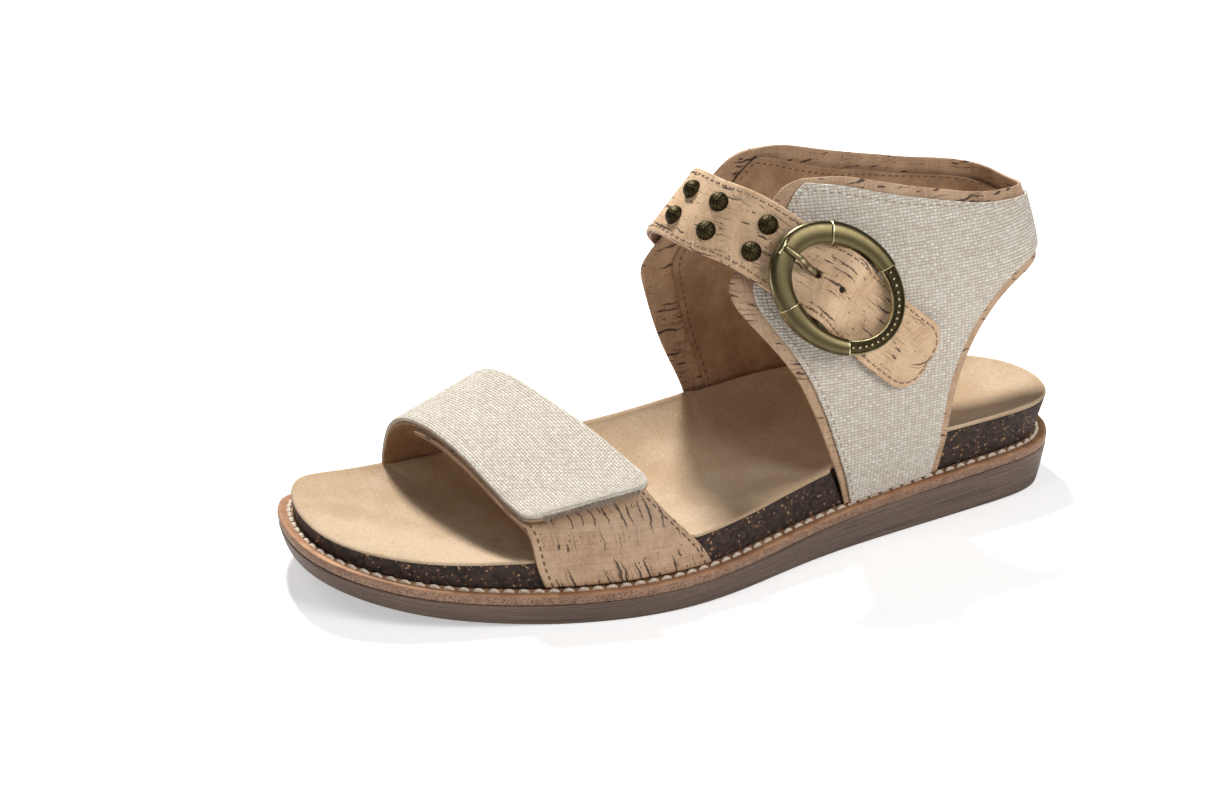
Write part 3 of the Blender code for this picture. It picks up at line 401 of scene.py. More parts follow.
# %% Linen finish
def linen_cloth(name, pitch_u, pitch_v, repeat):
    """Woven threads whose tone changes from crossing to crossing, with fibres and thick places."""
    material, graph, shader, cloth, _ = new_finish(name, 0.9, sheen=0.15)
    weave = place_group(graph, "weave", Cloth=cloth, Pitch_U=pitch_u, Pitch_V=pitch_v, Repeat=repeat)
    thread = graph.mix(weave["Thread"], (0.60, 0.535, 0.45), (0.80, 0.755, 0.68))
    fibre = graph.noise(graph.stretched(cloth, (1.2, 5.0, 1.0)), 1.0, 3.0)
    thread = graph.mix(graph.ramp(fibre, 0.45, 0.75, 0.0, 0.6), thread, (0.88, 0.85, 0.79))
    slub = graph.noise(graph.stretched(cloth, (0.05, 1.1, 1.0)), 1.0, 2.0)
    thread = graph.mix(graph.ramp(slub, 0.52, 0.72, 0.0, 0.35), thread, (0.52, 0.44, 0.345))
    # Painted shade: the gaps between the threads are darkened to a warm brown
    colour = graph.mix(graph.times(weave["Gap Shade"], 0.5), thread, (0.28, 0.215, 0.15))
    graph.put(shader, "Base Color", colour)
    relief = graph.plus(weave["Height"], graph.times(fibre, 0.3))
    bump(graph, shader, relief, 1.0, 0.32)
    return material


LINEN_CUFF = linen_cloth("linen_cuff", 1.35, 0.98, 2.0)
LINEN_STRAP = linen_cloth("linen_strap", 1.0, 0.9, 2.0)
print("linen:", LINEN_CUFF.name, LINEN_STRAP.name)


# %% Suede finishes
def suede(name, light, dark, nap, sheen, cloud):
    """Cloudy strokes under a fine nap, without gloss."""
    material, graph, shader, _, space = new_finish(name, 0.95, sheen=sheen)
    shader.inputs["Sheen Roughness"].default_value = 0.5
    shader.inputs["Specular IOR Level"].default_value = 0.18
    base = place_group(graph, "mottle", Place=space, Size=cloud, Light=light, Dark=dark)["Color"]
    stroke = graph.noise(graph.stretched(space, (0.5, 0.5, 0.5)), 1.0, 4.0, 0.65)
    base = graph.mix(graph.ramp(stroke, 0.42, 0.72, 0.0, 0.3), base, dark)
    grained = place_group(graph, "grain", Place=space, Size=nap, Color=base, Depth=0.34)
    graph.put(shader, "Base Color", grained["Color"])
    bump(graph, shader, grained["Height"], 0.5, 0.25)
    return material


SUEDE_COVER = suede("suede_cover", (0.53, 0.405, 0.28), (0.42, 0.295, 0.185), 1.5, 0.1, 0.03)
SUEDE_LINING = suede("suede_lining", (0.42, 0.27, 0.16), (0.30, 0.18, 0.10), 1.3, 0.18, 0.09)
print("suede:", SUEDE_COVER.name, SUEDE_LINING.name)

# %% [markdown]
# Footbed cork, welt leather, rubber, thread and brass
#
# The footbed is pressed from dark granules with a few pale ones.  The welt is a leather strip
# with a rough cut side and a waxed top edge.  The outsole is matt rubber with fine lines left by
# the mould.  The brass was darkened in a bath and rubbed back, so its high places shine.

# %% Footbed cork finish
FOOTBED_CORK, graph, shader, _, space = new_finish("footbed_cork", 0.85)
granules = graph.add("ShaderNodeTexVoronoi", None, Vector=space, Scale=0.75)
pick = graph.add("ShaderNodeSeparateColor", None, Color=granules.outputs["Color"]).outputs
dark_cork = graph.mix(pick[1], (0.014, 0.008, 0.006), (0.06, 0.034, 0.025))
torn = graph.add("ShaderNodeTexNoise", None, Vector=space, Scale=0.9, Detail=3.0)
torn_place = graph.shifted(space, torn.outputs["Color"], 1.8)
specks = graph.add("ShaderNodeTexVoronoi", None, Vector=torn_place, Scale=0.85)
speck_pick = graph.add("ShaderNodeSeparateColor", None, Color=specks.outputs["Color"]).outputs
crowd = graph.ramp(graph.noise(space, 0.16, 2.0), 0.42, 0.62, 0.03, 0.40)
chosen = graph.math("LESS_THAN", speck_pick[0], crowd)
close = graph.ramp(specks.outputs["Distance"], 0.52, 0.3)
speck = graph.times(chosen, close)
speck_colour = graph.mix(speck_pick[2], (0.13, 0.055, 0.026), (0.42, 0.25, 0.135))
graph.put(shader, "Base Color", graph.mix(speck, dark_cork, speck_colour))
relief = graph.minus(graph.noise(space, 1.2, 4.0, 0.7), granules.outputs["Distance"])
bump(graph, shader, relief, 0.7, 0.5)
print("footbed:", FOOTBED_CORK.name)

# %% Welt leather finish
WELT_LEATHER, graph, shader, cloth, space = new_finish("welt_leather", 0.62, coat=0.05)
split = graph.add("ShaderNodeSeparateXYZ", None, Vector=cloth).outputs
top_share = graph.ramp(split["Y"], 2.3, 3.1)
rough_side = place_group(graph, "mottle", Place=space, Size=0.5, Light=(0.40, 0.235, 0.15),
                         Dark=(0.26, 0.135, 0.082))
pits = graph.noise(graph.stretched(space, (1.0, 1.0, 1.4)), 1.9, 3.0, 0.8)
side_colour = graph.mix(graph.ramp(pits, 0.52, 0.60, 0.0, 0.85), rough_side["Color"], (0.11, 0.055, 0.035))
side_colour = graph.mix(graph.ramp(pits, 0.46, 0.38, 0.0, 0.75), side_colour, (0.56, 0.37, 0.26))
rim_colour = place_group(graph, "mottle", Place=space, Size=0.12, Light=(0.50, 0.27, 0.145),
                         Dark=(0.34, 0.165, 0.085))
colour = graph.mix(top_share, side_colour, rim_colour["Color"])
graph.put(shader, "Base Color", colour)
side_share = graph.minus(1.0, top_share)
relief = graph.times(pits, graph.plus(graph.times(side_share, 0.9), 0.12))
bump(graph, shader, relief, 0.8, 0.5)
print("welt:", WELT_LEATHER.name)

# %% Outsole rubber finish
SOLE_RUBBER, graph, shader, cloth, space = new_finish("sole_rubber", 0.5, coat=0.03)
shader.inputs["Specular IOR Level"].default_value = 0.25
split = graph.add("ShaderNodeSeparateXYZ", None, Vector=cloth).outputs
bent = graph.plus(split["Y"], graph.times(graph.noise(space, 0.05, 2.0), 0.8))
lines = graph.math("SINE", graph.times(bent, 2 * math.pi / 0.62))
streaks = graph.ramp(graph.noise(graph.stretched(cloth, (0.025, 1.5, 1.0)), 1.0, 4.0, 0.7), 0.2, 0.78)
base = graph.mix(streaks, (0.095, 0.067, 0.054), (0.26, 0.186, 0.145))
base = graph.mix(graph.ramp(lines, -1.0, 0.4, 0.32, 0.0), base, (0.06, 0.041, 0.033))
scuffs = graph.noise(graph.stretched(space, (0.6, 0.12, 0.9)), 1.0, 5.0, 0.75)
base = graph.mix(graph.ramp(scuffs, 0.62, 0.76, 0.0, 0.22), base, (0.42, 0.36, 0.31))
graph.put(shader, "Base Color", base)
graph.put(shader, "Roughness", graph.ramp(scuffs, 0.3, 0.8, 0.42, 0.68))
relief = graph.plus(graph.times(lines, 0.5), streaks)
bump(graph, shader, relief, 0.6, 0.22)
print("outsole:", SOLE_RUBBER.name)


# %% Thread finishes
def thread_finish(name, light, dark, half_length=100.0):
    """Twisted thread with painted shade in its grooves; beyond the half length it turns nearly black,
    painted shade where it sinks into its hole.
    """
    material, graph, shader, cloth, _ = new_finish(name, 0.75, sheen=0.1)
    split = graph.add("ShaderNodeSeparateXYZ", None, Vector=cloth).outputs
    twist = graph.math("SINE", graph.plus(graph.times(split["X"], 9.0), split["Y"]))
    # The twist's grooves get painted shade: the colour runs from the dark tone in the grooves to the light
    # tone on the ridges
    colour = graph.mix(graph.ramp(twist, -0.8, 0.7), dark, light)
    # Painted shade: nearly black where the stitch sinks into its hole
    sink_shade = graph.ramp(graph.math("ABSOLUTE", split["X"]), half_length - 0.15, half_length + 0.1)
    colour = graph.mix(sink_shade, colour, (0.03, 0.015, 0.009))
    graph.put(shader, "Base Color", colour)
    bump(graph, shader, twist, 0.5, 0.12)
    return material


CREAM_THREAD = thread_finish("cream_thread", (0.93, 0.83, 0.71), (0.66, 0.52, 0.39))
BROWN_THREAD = thread_finish("brown_thread", (0.21, 0.12, 0.07), (0.085, 0.045, 0.026))
TAN_THREAD = thread_finish("tan_thread", (0.50, 0.34, 0.22), (0.24, 0.14, 0.085), 0.62)
GREY_THREAD = thread_finish("grey_thread", (0.52, 0.45, 0.38), (0.28, 0.22, 0.17))
# Nearly black finish for painted shade in the strap's holes
HOLE_SHADE_FINISH = new_finish("hole_painted_shade", 0.9)[0]
hole_shader = HOLE_SHADE_FINISH.node_tree.nodes["Principled BSDF"]
hole_shader.inputs["Base Color"].default_value = (0.012, 0.007, 0.004, 1.0)
print("threads:", CREAM_THREAD.name, BROWN_THREAD.name, TAN_THREAD.name, GREY_THREAD.name)

# %% Brass finish
BRASS, graph, shader, _, space = new_finish("antique_brass", 0.3, metallic=1.0)
rub = graph.add("ShaderNodeAttribute", {"attribute_name": "rub"}).outputs["Fac"]
tarnish = graph.noise(space, 0.28, 4.0, 0.6)
fine = graph.noise(space, 2.2, 3.0, 0.7)
worn = graph.math("ADD", rub, graph.times(graph.minus(tarnish, 0.5), 0.5), True)
base = graph.mix(worn, (0.032, 0.025, 0.011), (0.19, 0.155, 0.078))
base = graph.mix(graph.ramp(worn, 0.72, 1.0), base, (0.78, 0.70, 0.45))
graph.put(shader, "Base Color", base)
rough = graph.plus(graph.ramp(worn, 0.0, 1.0, 0.46, 0.22), graph.times(fine, 0.1))
graph.put(shader, "Roughness", rough)
bump(graph, shader, fine, 0.12, 0.1)
print("finishes:", len(bpy.data.materials))

# %% [markdown]
# Curves and tables
#
# A shoe's shape is a handful of measurements down its length.  Each table below holds real
# sizes, and a natural cubic curve through them gives every place in between, as a bent batten
# would on a drawing board.


# %% Curve helpers
def curve(xs, ys):
    """Natural cubic curve through the points, returned as a function of x."""
    xs, ys = np.asarray(xs, float), np.asarray(ys, float)
    count = len(xs)
    step = np.diff(xs)
    matrix = np.eye(count)
    right = np.zeros(count)
    for i in range(1, count - 1):
        matrix[i, i - 1:i + 2] = step[i - 1], 2 * (step[i - 1] + step[i]), step[i]
        right[i] = 6 * ((ys[i + 1] - ys[i]) / step[i] - (ys[i] - ys[i - 1]) / step[i - 1])
    bend_at = np.linalg.solve(matrix, right)

    def value(x):
        x = np.clip(np.asarray(x, float), xs[0], xs[-1])
        i = np.clip(np.searchsorted(xs, x) - 1, 0, count - 2)
        t = x - xs[i]
        cubic = (bend_at[i + 1] - bend_at[i]) / (6 * step[i])
        slope = (ys[i + 1] - ys[i]) / step[i] - step[i] * (2 * bend_at[i] + bend_at[i + 1]) / 6
        return ys[i] + t * (slope + t * (bend_at[i] / 2 + t * cubic))

    return value


def table_curve(table, column):
    """Curve of one column of a table over its first column."""
    rows = sorted(table)
    return curve([row[0] for row in rows], [row[column] for row in rows])


def smooth_step(x):
    x = np.clip(x, 0.0, 1.0)
    return x * x * (3 - 2 * x)


def unit(vector):
    """Vectors scaled to length one."""
    return vector / np.maximum(np.linalg.norm(vector, axis=-1, keepdims=True), 1e-9)


print("halfway up a test curve:", float(curve((0, 1, 2), (0, 1, 0))(0.5)))


# %% Sole tables
HALF_LENGTH = 131.0
GAP = 0.3
WELT_THICKNESS = 3.2
STITCH_BAND = 4.7
STRAP_PROUD = 1.3
TOE_SPRING = 12.2
SPRING_START = -60.0
# y, outer side x, inner side x
WELT_OUTLINE = (
    (118.0, 24.0, -23.9), (95.0, 29.7, -30.4), (60.0, 34.2, -32.4), (20.0, 41.4, -31.4),
    (-20.0, 51.5, -36.3), (-50.0, 49.9, -42.4), (-75.0, 42.0, -46.4), (-100.0, 33.0, -47.0),
    (-120.0, 20.2, -43.0),
)
HEEL_X = 0.0
TOE_X = -8.0
# y, thickness, undercut of the lower edge
OUTSOLE_SIDE = (
    (-131.0, 5.4, 1.6), (-75.0, 6.4, 0.8), (-20.0, 7.3, 0.8), (50.0, 11.2, 1.0), (131.0, 14.1, 2.4),
)
# y, outer rim height, extra on the inner side, centre height, rim inset
FOOTBED_SECTIONS = (
    (-131.0, 3.6, 0.0, 3.4, 4.5), (-100.0, 5.6, 2.4, 4.0, 4.6), (-60.0, 8.1, 5.2, 5.0, 4.9),
    (-20.0, 8.9, 8.2, 6.4, 5.0), (20.0, 11.2, 10.2, 8.2, 4.2), (50.0, 13.8, 7.0, 7.4, 2.6),
    (80.0, 13.6, 2.2, 5.4, 1.3), (131.0, 12.1, 0.0, 5.6, 1.3),
)
# Where straps pass: first y at the welt and at the rim, last y at the welt and at the rim, side
STRAP_ZONES = (
    (-68.5, -70.5, -17.5, -21.5, 1), (38.0, 31.5, 75.0, 76.0, 1), (-88.0, -88.0, -58.5, -59.0, -1),
    (15.5, 13.5, 75.0, 76.0, -1),
)
STRAP_RECESS = 1.9
ZONE_EASE = 2.0


def outline_curve():
    """x of the welt edge over the angle round the outline, from the heel over the outer side."""
    angles = [0.0] + [math.acos(row[0] / HALF_LENGTH) for row in WELT_OUTLINE] + [math.pi]
    across = [HEEL_X] + [row[1] for row in WELT_OUTLINE] + [TOE_X]
    for y, _, inner in reversed(WELT_OUTLINE):
        angles.append(2 * math.pi - math.acos(y / HALF_LENGTH))
        across.append(inner)
    turns = [angle + turn * 2 * math.pi for turn in (-1, 0, 1) for angle in angles]
    return curve(turns, across * 3)


OUTLINE_X = outline_curve()
SIDE_THICKNESS = table_curve(OUTSOLE_SIDE, 1)
SIDE_UNDERCUT = table_curve(OUTSOLE_SIDE, 2)
RIM_OUTER = table_curve(FOOTBED_SECTIONS, 1)
RIM_INNER_EXTRA = table_curve(FOOTBED_SECTIONS, 2)
CENTRE_HEIGHT = table_curve(FOOTBED_SECTIONS, 3)
RIM_INSET = table_curve(FOOTBED_SECTIONS, 4)


# %% Sole functions
def ground(y):
    """Height of the tread: flat from the heel to the ball, then the toe spring."""
    return TOE_SPRING * (np.maximum(0.0, SPRING_START - y) / (HALF_LENGTH + SPRING_START)) ** 2


def outsole_top(y):
    return ground(y) + SIDE_THICKNESS(y)


def welt_top(y):
    return outsole_top(y) + GAP + WELT_THICKNESS


def inner_share(angle):
    """0 on the outer side and 1 on the inner side of the outline, eased at heel and toe."""
    return smooth_step(0.5 - np.sin(angle) / 0.5)


def rim_height(y, angle):
    return welt_top(y) + GAP + RIM_OUTER(y) + RIM_INNER_EXTRA(y) * inner_share(angle)


def strap_recess(y, side, share):
    """How far the cork steps back behind a strap; share 0 at the welt and 1 at the rim."""
    depth = np.zeros_like(y)
    for first_low, first_high, last_low, last_high, zone_side in STRAP_ZONES:
        first = first_low + (first_high - first_low) * share
        last = last_low + (last_high - last_low) * share
        inside = smooth_step((y - first) / ZONE_EASE) * smooth_step((last - y) / ZONE_EASE)
        depth = np.where(side == zone_side, np.maximum(depth, inside), depth)
    return STRAP_RECESS * depth


def outline(angles, inset):
    """Points of the outline, moved inwards at right angles to its edge, as x and y."""
    small = 1e-3
    x0, x1 = OUTLINE_X(angles - small), OUTLINE_X(angles + small)
    y0, y1 = HALF_LENGTH * np.cos(angles - small), HALF_LENGTH * np.cos(angles + small)
    run = np.hypot(x1 - x0, y1 - y0)
    x = OUTLINE_X(angles) + inset * (y1 - y0) / run
    y = HALF_LENGTH * np.cos(angles) - inset * (x1 - x0) / run
    return x, y


def even_angles(count):
    """Angles that step evenly along the edge of the outline, plus the length of that edge."""
    fine = np.linspace(0, 2 * math.pi, 4001)
    x, y = outline(fine, 0.0)
    length = np.concatenate([[0.0], np.cumsum(np.hypot(np.diff(x), np.diff(y)))])
    return np.interp(np.arange(count) / count * length[-1], length, fine), float(length[-1])


ROUND_STEPS = 480
ANGLES, EDGE_LENGTH = even_angles(ROUND_STEPS)
print("edge of the welt:", round(EDGE_LENGTH), "mm")


# %% [markdown]
# Meshes from rings and grids
#
# Every piece here is either a stack of rings round the sole or a grid that is bent over the foot.
# Both can be made with one function that takes points, faces and cloth coordinates.  The cloth
# coordinates are millimetres along the piece, so a weave keeps its size and direction.

# %% Mesh helpers
def make_piece(name, points, faces, finish, nodes=(), uv=None, indexes=None, rub=None):
    """Mesh piece from points in millimetres.  uv holds one pair for each point."""
    mesh = bpy.data.meshes.new(name)
    places = (np.asarray(points, float) - (MIDDLE_X, 0.0, 0.0)) * MM
    mesh.from_pydata(places.tolist(), [], faces)
    finishes = finish if isinstance(finish, (list, tuple)) else [finish]
    for material in finishes:
        mesh.materials.append(material)
    if indexes is not None:
        mesh.polygons.foreach_set("material_index", indexes)
    if uv is not None:
        layer = mesh.uv_layers.new(name="cloth")
        corners = np.zeros(len(mesh.loops), int)
        mesh.loops.foreach_get("vertex_index", corners)
        layer.data.foreach_set("uv", np.asarray(uv, float)[corners].ravel())
    if rub is not None:
        mesh.attributes.new("rub", "FLOAT", "POINT").data.foreach_set("value", np.asarray(rub, float))
    work = bmesh.new()
    work.from_mesh(mesh)
    bmesh.ops.recalc_face_normals(work, faces=work.faces)
    work.to_mesh(mesh)
    work.free()
    mesh.shade_smooth()
    piece = bpy.data.objects.new(name, mesh)
    bpy.context.collection.objects.link(piece)
    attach(piece, "root")
    if nodes:
        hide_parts(*nodes)
    print(name, len(mesh.polygons), "faces")
    return piece


def ring_faces(count, rings, start=0):
    """Quads between closed rings of points that follow each other."""
    faces = []
    for r in range(rings - 1):
        for i in range(count):
            j = (i + 1) % count
            a = start + r * count
            faces.append((a + i, a + j, a + count + j, a + count + i))
    return faces


def closing_faces(count, last):
    """Quads from the last ring, whose first point is given, back to the first ring."""
    return [(last + i, last + (i + 1) % count, (i + 1) % count, i) for i in range(count)]


def ring_stack(levels):
    """Points and cloth coordinates of rings; each level is (x, y, z, distance up the wall)."""
    along = np.arange(ROUND_STEPS) / ROUND_STEPS * EDGE_LENGTH
    points = [np.stack([x, y, z], axis=1) for x, y, z, _ in levels]
    uv = [np.stack([along, np.full(ROUND_STEPS, up)], axis=1) for _, _, _, up in levels]
    return np.concatenate(points), np.concatenate(uv)


print("steps round the sole:", ROUND_STEPS)


# %% [markdown]
# Outsole
#
# The outsole is a moulded rubber slab: thicker at the heel, flat from heel to ball and curling up
# at the toe.  Its wall leans in a little at the foot, and a low bead runs under the welt.  It is
# a stack of rings closed by a tread below and a flat face above.

# %% Outsole piece
SOLE_PROFILE = (
    # share of the wall height, inset as a share of the undercut, extra inset in mm
    (0.0, 1.0, 1.6), (0.0, 1.0, 0.7), (0.03, 1.0, 0.15), (0.10, 0.95, 0.0), (0.3, 0.7, 0.0),
    (0.55, 0.4, 0.05), (0.8, 0.12, 0.12), (0.9, 0.0, 0.15), (0.94, 0.0, 0.3), (1.0, 0.0, 0.35),
)


def make_outsole():
    levels = []
    for share, undercut, extra in SOLE_PROFILE:
        x, y = outline(ANGLES, 0.0)
        x, y = outline(ANGLES, SIDE_UNDERCUT(y) * undercut + extra)
        z = ground(y) + SIDE_THICKNESS(y) * share
        levels.append((x, y, z, float(share) * 10.0))
    points, uv = ring_stack(levels)
    count = ROUND_STEPS
    faces = ring_faces(count, len(levels))
    for start in (0, count * (len(levels) - 1)):
        for i in range(1, count // 2):
            faces.append((start + i, start + i + 1, start + count - i - 1, start + count - i)
                         if i < count // 2 - 1 else (start + i, start + i + 1, start + i + 2))
        faces.append((start, start + 1, start + count - 1))
    return make_piece("outsole_rubber", points, faces, SOLE_RUBBER, ["outsole"], uv)


make_outsole()

# %% [markdown]
# Welt and its seam
#
# The welt is a strip of leather laid round the edge of the sole.  Its outside is cut rough and its
# top edge is smoothed.  A lockstitch in thick cream thread runs on top, in a shallow groove close
# to the footbed.  Each stitch is its own short bent rod, sunk at both ends, because a seam shows
# as a row of pillows and not as a line.

# %% Welt piece
WELT_PROFILE = (
    # inset, height above the outsole, distance up the wall
    (6.0, 0.3, 0.0), (0.25, 0.3, 0.0), (0.05, 0.55, 0.3), (0.0, 1.2, 1.0), (0.0, 2.2, 2.0),
    (0.05, 2.85, 2.6), (0.22, 3.25, 3.0), (0.55, 3.5, 3.4), (1.2, 3.5, 4.0), (2.2, 3.46, 5.0),
    (2.7, 3.2, 5.6), (3.5, 3.1, 6.3), (4.3, 3.3, 7.0), (8.0, 3.4, 10.0),
)


def make_welt():
    levels = []
    wobble = 0.05 * np.sin(ANGLES * 61) + 0.04 * np.sin(ANGLES * 143 + 1.0)
    for inset, height, up in WELT_PROFILE:
        x, y = outline(ANGLES, inset + wobble * (0.2 if inset > 3 else 1.0))
        levels.append((x, y, outsole_top(y) + height, up))
    points, uv = ring_stack(levels)
    faces = ring_faces(ROUND_STEPS, len(levels))
    last = ROUND_STEPS * (len(levels) - 1)
    faces += closing_faces(ROUND_STEPS, last)
    return make_piece("welt_strip", points, faces, WELT_LEATHER, ["welt"], uv)


make_welt()


# %% Stitch helper
def stitches(name, centres, directions, ups, finish, slot, length=3.2, width=1.1, height=0.7, sink=0.35):
    """Row of stitches: bent rods that dip into the surface at both ends."""
    around, sections = 8, 7
    points, faces, uv = [], [], []
    for centre, direction, up in zip(centres, directions, ups):
        side = np.cross(up, direction)
        start = len(points)
        for s in range(sections):
            t = 2 * s / (sections - 1) - 1
            full = math.sqrt(max(0.0, 1 - abs(t) ** 2.6)) * 0.85 + 0.15
            middle = centre + direction * t * length / 2 + up * (height * 0.25 * (1 - t * t) - sink * t * t)
            for k in range(around):
                turn = 2 * math.pi * k / around
                points.append(middle + side * math.cos(turn) * width / 2 * full
                              + up * math.sin(turn) * height / 2 * full)
                uv.append((t * length / 2, turn * 1.0))
        faces += ring_faces(around, sections, start)
        faces.append(tuple(start + k for k in range(around)))
        faces.append(tuple(start + (sections - 1) * around + k for k in range(around)))
    return make_piece(name, points, faces, finish, (), uv)


# %% Welt seam
WELT_STITCH_PITCH = 4.35
WELT_STITCH_INSET = 3.45
WELT_STITCH_HEIGHT = 3.32
# The seam runs inside the edge, so it is a little shorter
WELT_SEAM_SHARE = 0.975


def make_welt_seam():
    count = int(round(EDGE_LENGTH * WELT_SEAM_SHARE / WELT_STITCH_PITCH))
    angles, _ = even_angles(count)
    x, y = outline(angles, WELT_STITCH_INSET)
    x1, y1 = outline(angles + 0.004, WELT_STITCH_INSET)
    places = np.stack([x, y, outsole_top(y) + WELT_STITCH_HEIGHT], axis=1)
    ahead = np.stack([x1, y1, outsole_top(y1) + WELT_STITCH_HEIGHT], axis=1)
    up = np.tile([0.0, 0.0, 1.0], (count, 1))
    return stitches("welt_seam", places, unit(ahead - places), up, CREAM_THREAD, "welt_leather",
                    length=4.0, width=1.5, height=1.15, sink=0.55)


make_welt_seam()

# %% [markdown]
# Footbed and its suede cover
#
# The footbed is pressed cork, with a raised rim round the heel, a high arch support on the inner
# side and a hollow for the heel.  Suede covers the top and rolls over the rim.  Rings shrink from
# the rim to a line down the middle of the foot, and the height between them follows a power, so
# the middle stays flat and the rim rises late.

# %% Dished surface
SPINE_SHARE = 0.72
HEEL_DISH_POWER = 2.3
TOE_DISH_POWER = 3.2
DISH_FADE_Y = 20.0
DISH_FADE_LENGTH = 60.0


def dished(rim, share, drop):
    """Ring at a share of the way from the middle line to the rim, on the dished top or under it."""
    opposite = np.roll(rim[::-1], 1, axis=0)
    middle_y = (rim[:, 1] + opposite[:, 1]) / 2
    spine_y = middle_y * SPINE_SHARE
    bow = np.polyfit(middle_y, (rim[:, 0] + opposite[:, 0]) / 2, 4)
    spine_x = np.polyval(bow, spine_y)
    x = spine_x + (rim[:, 0] - spine_x) * share
    y = spine_y + (rim[:, 1] - spine_y) * share
    forward = smooth_step((DISH_FADE_Y - rim[:, 1]) / DISH_FADE_LENGTH)
    power = HEEL_DISH_POWER + (TOE_DISH_POWER - HEEL_DISH_POWER) * forward
    middle = welt_top(y) + GAP + CENTRE_HEIGHT(y) + drop
    return np.stack([x, y, middle + (rim[:, 2] - middle) * share ** power], axis=1)


def rim_ring(extra_inset, lift, share=1.0):
    """Ring on the wall of the footbed: share 0 at the welt and 1 at the rim."""
    side = np.where(ANGLES <= math.pi, 1, -1)
    edge_y = HALF_LENGTH * np.cos(ANGLES)
    inset = STITCH_BAND + (RIM_INSET(edge_y) - STITCH_BAND) * share
    x, y = outline(ANGLES, inset + strap_recess(edge_y, side, share) + extra_inset)
    low = welt_top(y) + GAP
    return np.stack([x, y, low + (rim_height(y, ANGLES) - low) * share + lift], axis=1)


def symmetric_angles():
    """Angles that pair up across the shoe, so that a ring can close on its middle line."""
    outer = ANGLES[:ROUND_STEPS // 2]
    first = np.interp(np.linspace(0, 1, ROUND_STEPS // 2 + 1), np.linspace(0, 1, len(outer)), outer)
    first = first / first[-1] * math.pi
    return np.concatenate([first, 2 * math.pi - first[-2:0:-1]])


ANGLES = symmetric_angles()
print("rim from", round(float(RIM_OUTER(0.0)), 1), "mm above the welt at the middle of the outer side")

# %% Footbed piece
WALL_SHARES = (0.0, 0.06, 0.2, 0.4, 0.6, 0.8, 0.94, 1.0)


def make_footbed():
    rings = [rim_ring(-0.15 * share, 0.65 * share ** 4, share) for share in WALL_SHARES]
    rings[0][:, 2] += 0.02
    rim = rings[-1]
    rings += [dished(rim, share, 0.0) for share in (0.96, 0.85, 0.6)]
    bottom = rings[0].copy()
    bottom[:, :2] *= 0.9
    rings = [bottom] + rings
    points = np.concatenate(rings)
    along = np.tile(np.arange(ROUND_STEPS) / ROUND_STEPS * EDGE_LENGTH, len(rings))
    uv = np.stack([along, points[:, 2]], axis=1)
    faces = ring_faces(ROUND_STEPS, len(rings))
    last = ROUND_STEPS * (len(rings) - 1)
    faces += closing_faces(ROUND_STEPS, last)
    return make_piece("footbed_cork", points, faces, FOOTBED_CORK, ["footbed"], uv)


make_footbed()

# %% Insole cover piece
COVER_THICKNESS = 1.2
# Shares of the way from the rim to the middle line, closer together where the dish is steep
COVER_SHARES = (0.965, 0.93, 0.89, 0.84, 0.78, 0.7, 0.6, 0.5, 0.4, 0.3, 0.2, 0.1, 0.0)
COVER_EDGE = (
    # extra inset, lift above the footbed rim: the rolled edge of the suede
    (0.5, 0.15), (0.0, 0.2), (-0.12, 0.55), (0.0, 1.0), (0.3, 1.32), (0.8, 1.5),
)


def make_insole_cover():
    rings = [dished(rim_ring(0.0, GAP), share, GAP) for share in (0.0, 0.7)]
    rings += [rim_ring(inset, lift) for inset, lift in COVER_EDGE]
    rim = rim_ring(0.3, GAP + COVER_THICKNESS)
    rings += [dished(rim, share, GAP + COVER_THICKNESS) for share in COVER_SHARES]
    points = np.concatenate(rings)
    faces = ring_faces(ROUND_STEPS, len(rings))
    uv = points[:, :2]
    cover = make_piece("insole_suede", points, faces, SUEDE_COVER, ["insole_cover"], uv)
    work = bmesh.new()
    work.from_mesh(cover.data)
    bmesh.ops.remove_doubles(work, verts=work.verts, dist=0.02 * MM)
    bmesh.ops.recalc_face_normals(work, faces=work.faces)
    work.to_mesh(cover.data)
    work.free()
    return cover


make_insole_cover()

# %% [markdown]
# Sheets with rounded edges
#
# Straps, linings and the linen panel are all thin sheets.  Each one starts as a grid of points on
# its outer face.  The sheet gets its thickness along the normals, and both faces sink towards
# each other over the last millimetre, so the cut edge is round and not a knife-sharp box.


# %% Sheet helpers
def grid_normals(grid):
    """Unit normals of a grid of points."""
    down = np.gradient(grid, axis=0)
    along = np.gradient(grid, axis=1)
    return unit(np.cross(along, down))


def grid_lengths(grid):
    """Millimetres along the rows and down the columns of a grid."""
    along = np.linalg.norm(np.diff(grid, axis=1), axis=2)
    down = np.linalg.norm(np.diff(grid, axis=0), axis=2)
    u = np.concatenate([np.zeros((grid.shape[0], 1)), np.cumsum(along, axis=1)], axis=1)
    v = np.concatenate([np.zeros((1, grid.shape[1])), np.cumsum(down, axis=0)], axis=0)
    return u, v


def edge_distance(u, v):
    """Distance of each grid point from the nearest of the four sides."""
    return np.minimum(np.minimum(u, u[:, -1:] - u), np.minimum(v, v[-1:, :] - v))


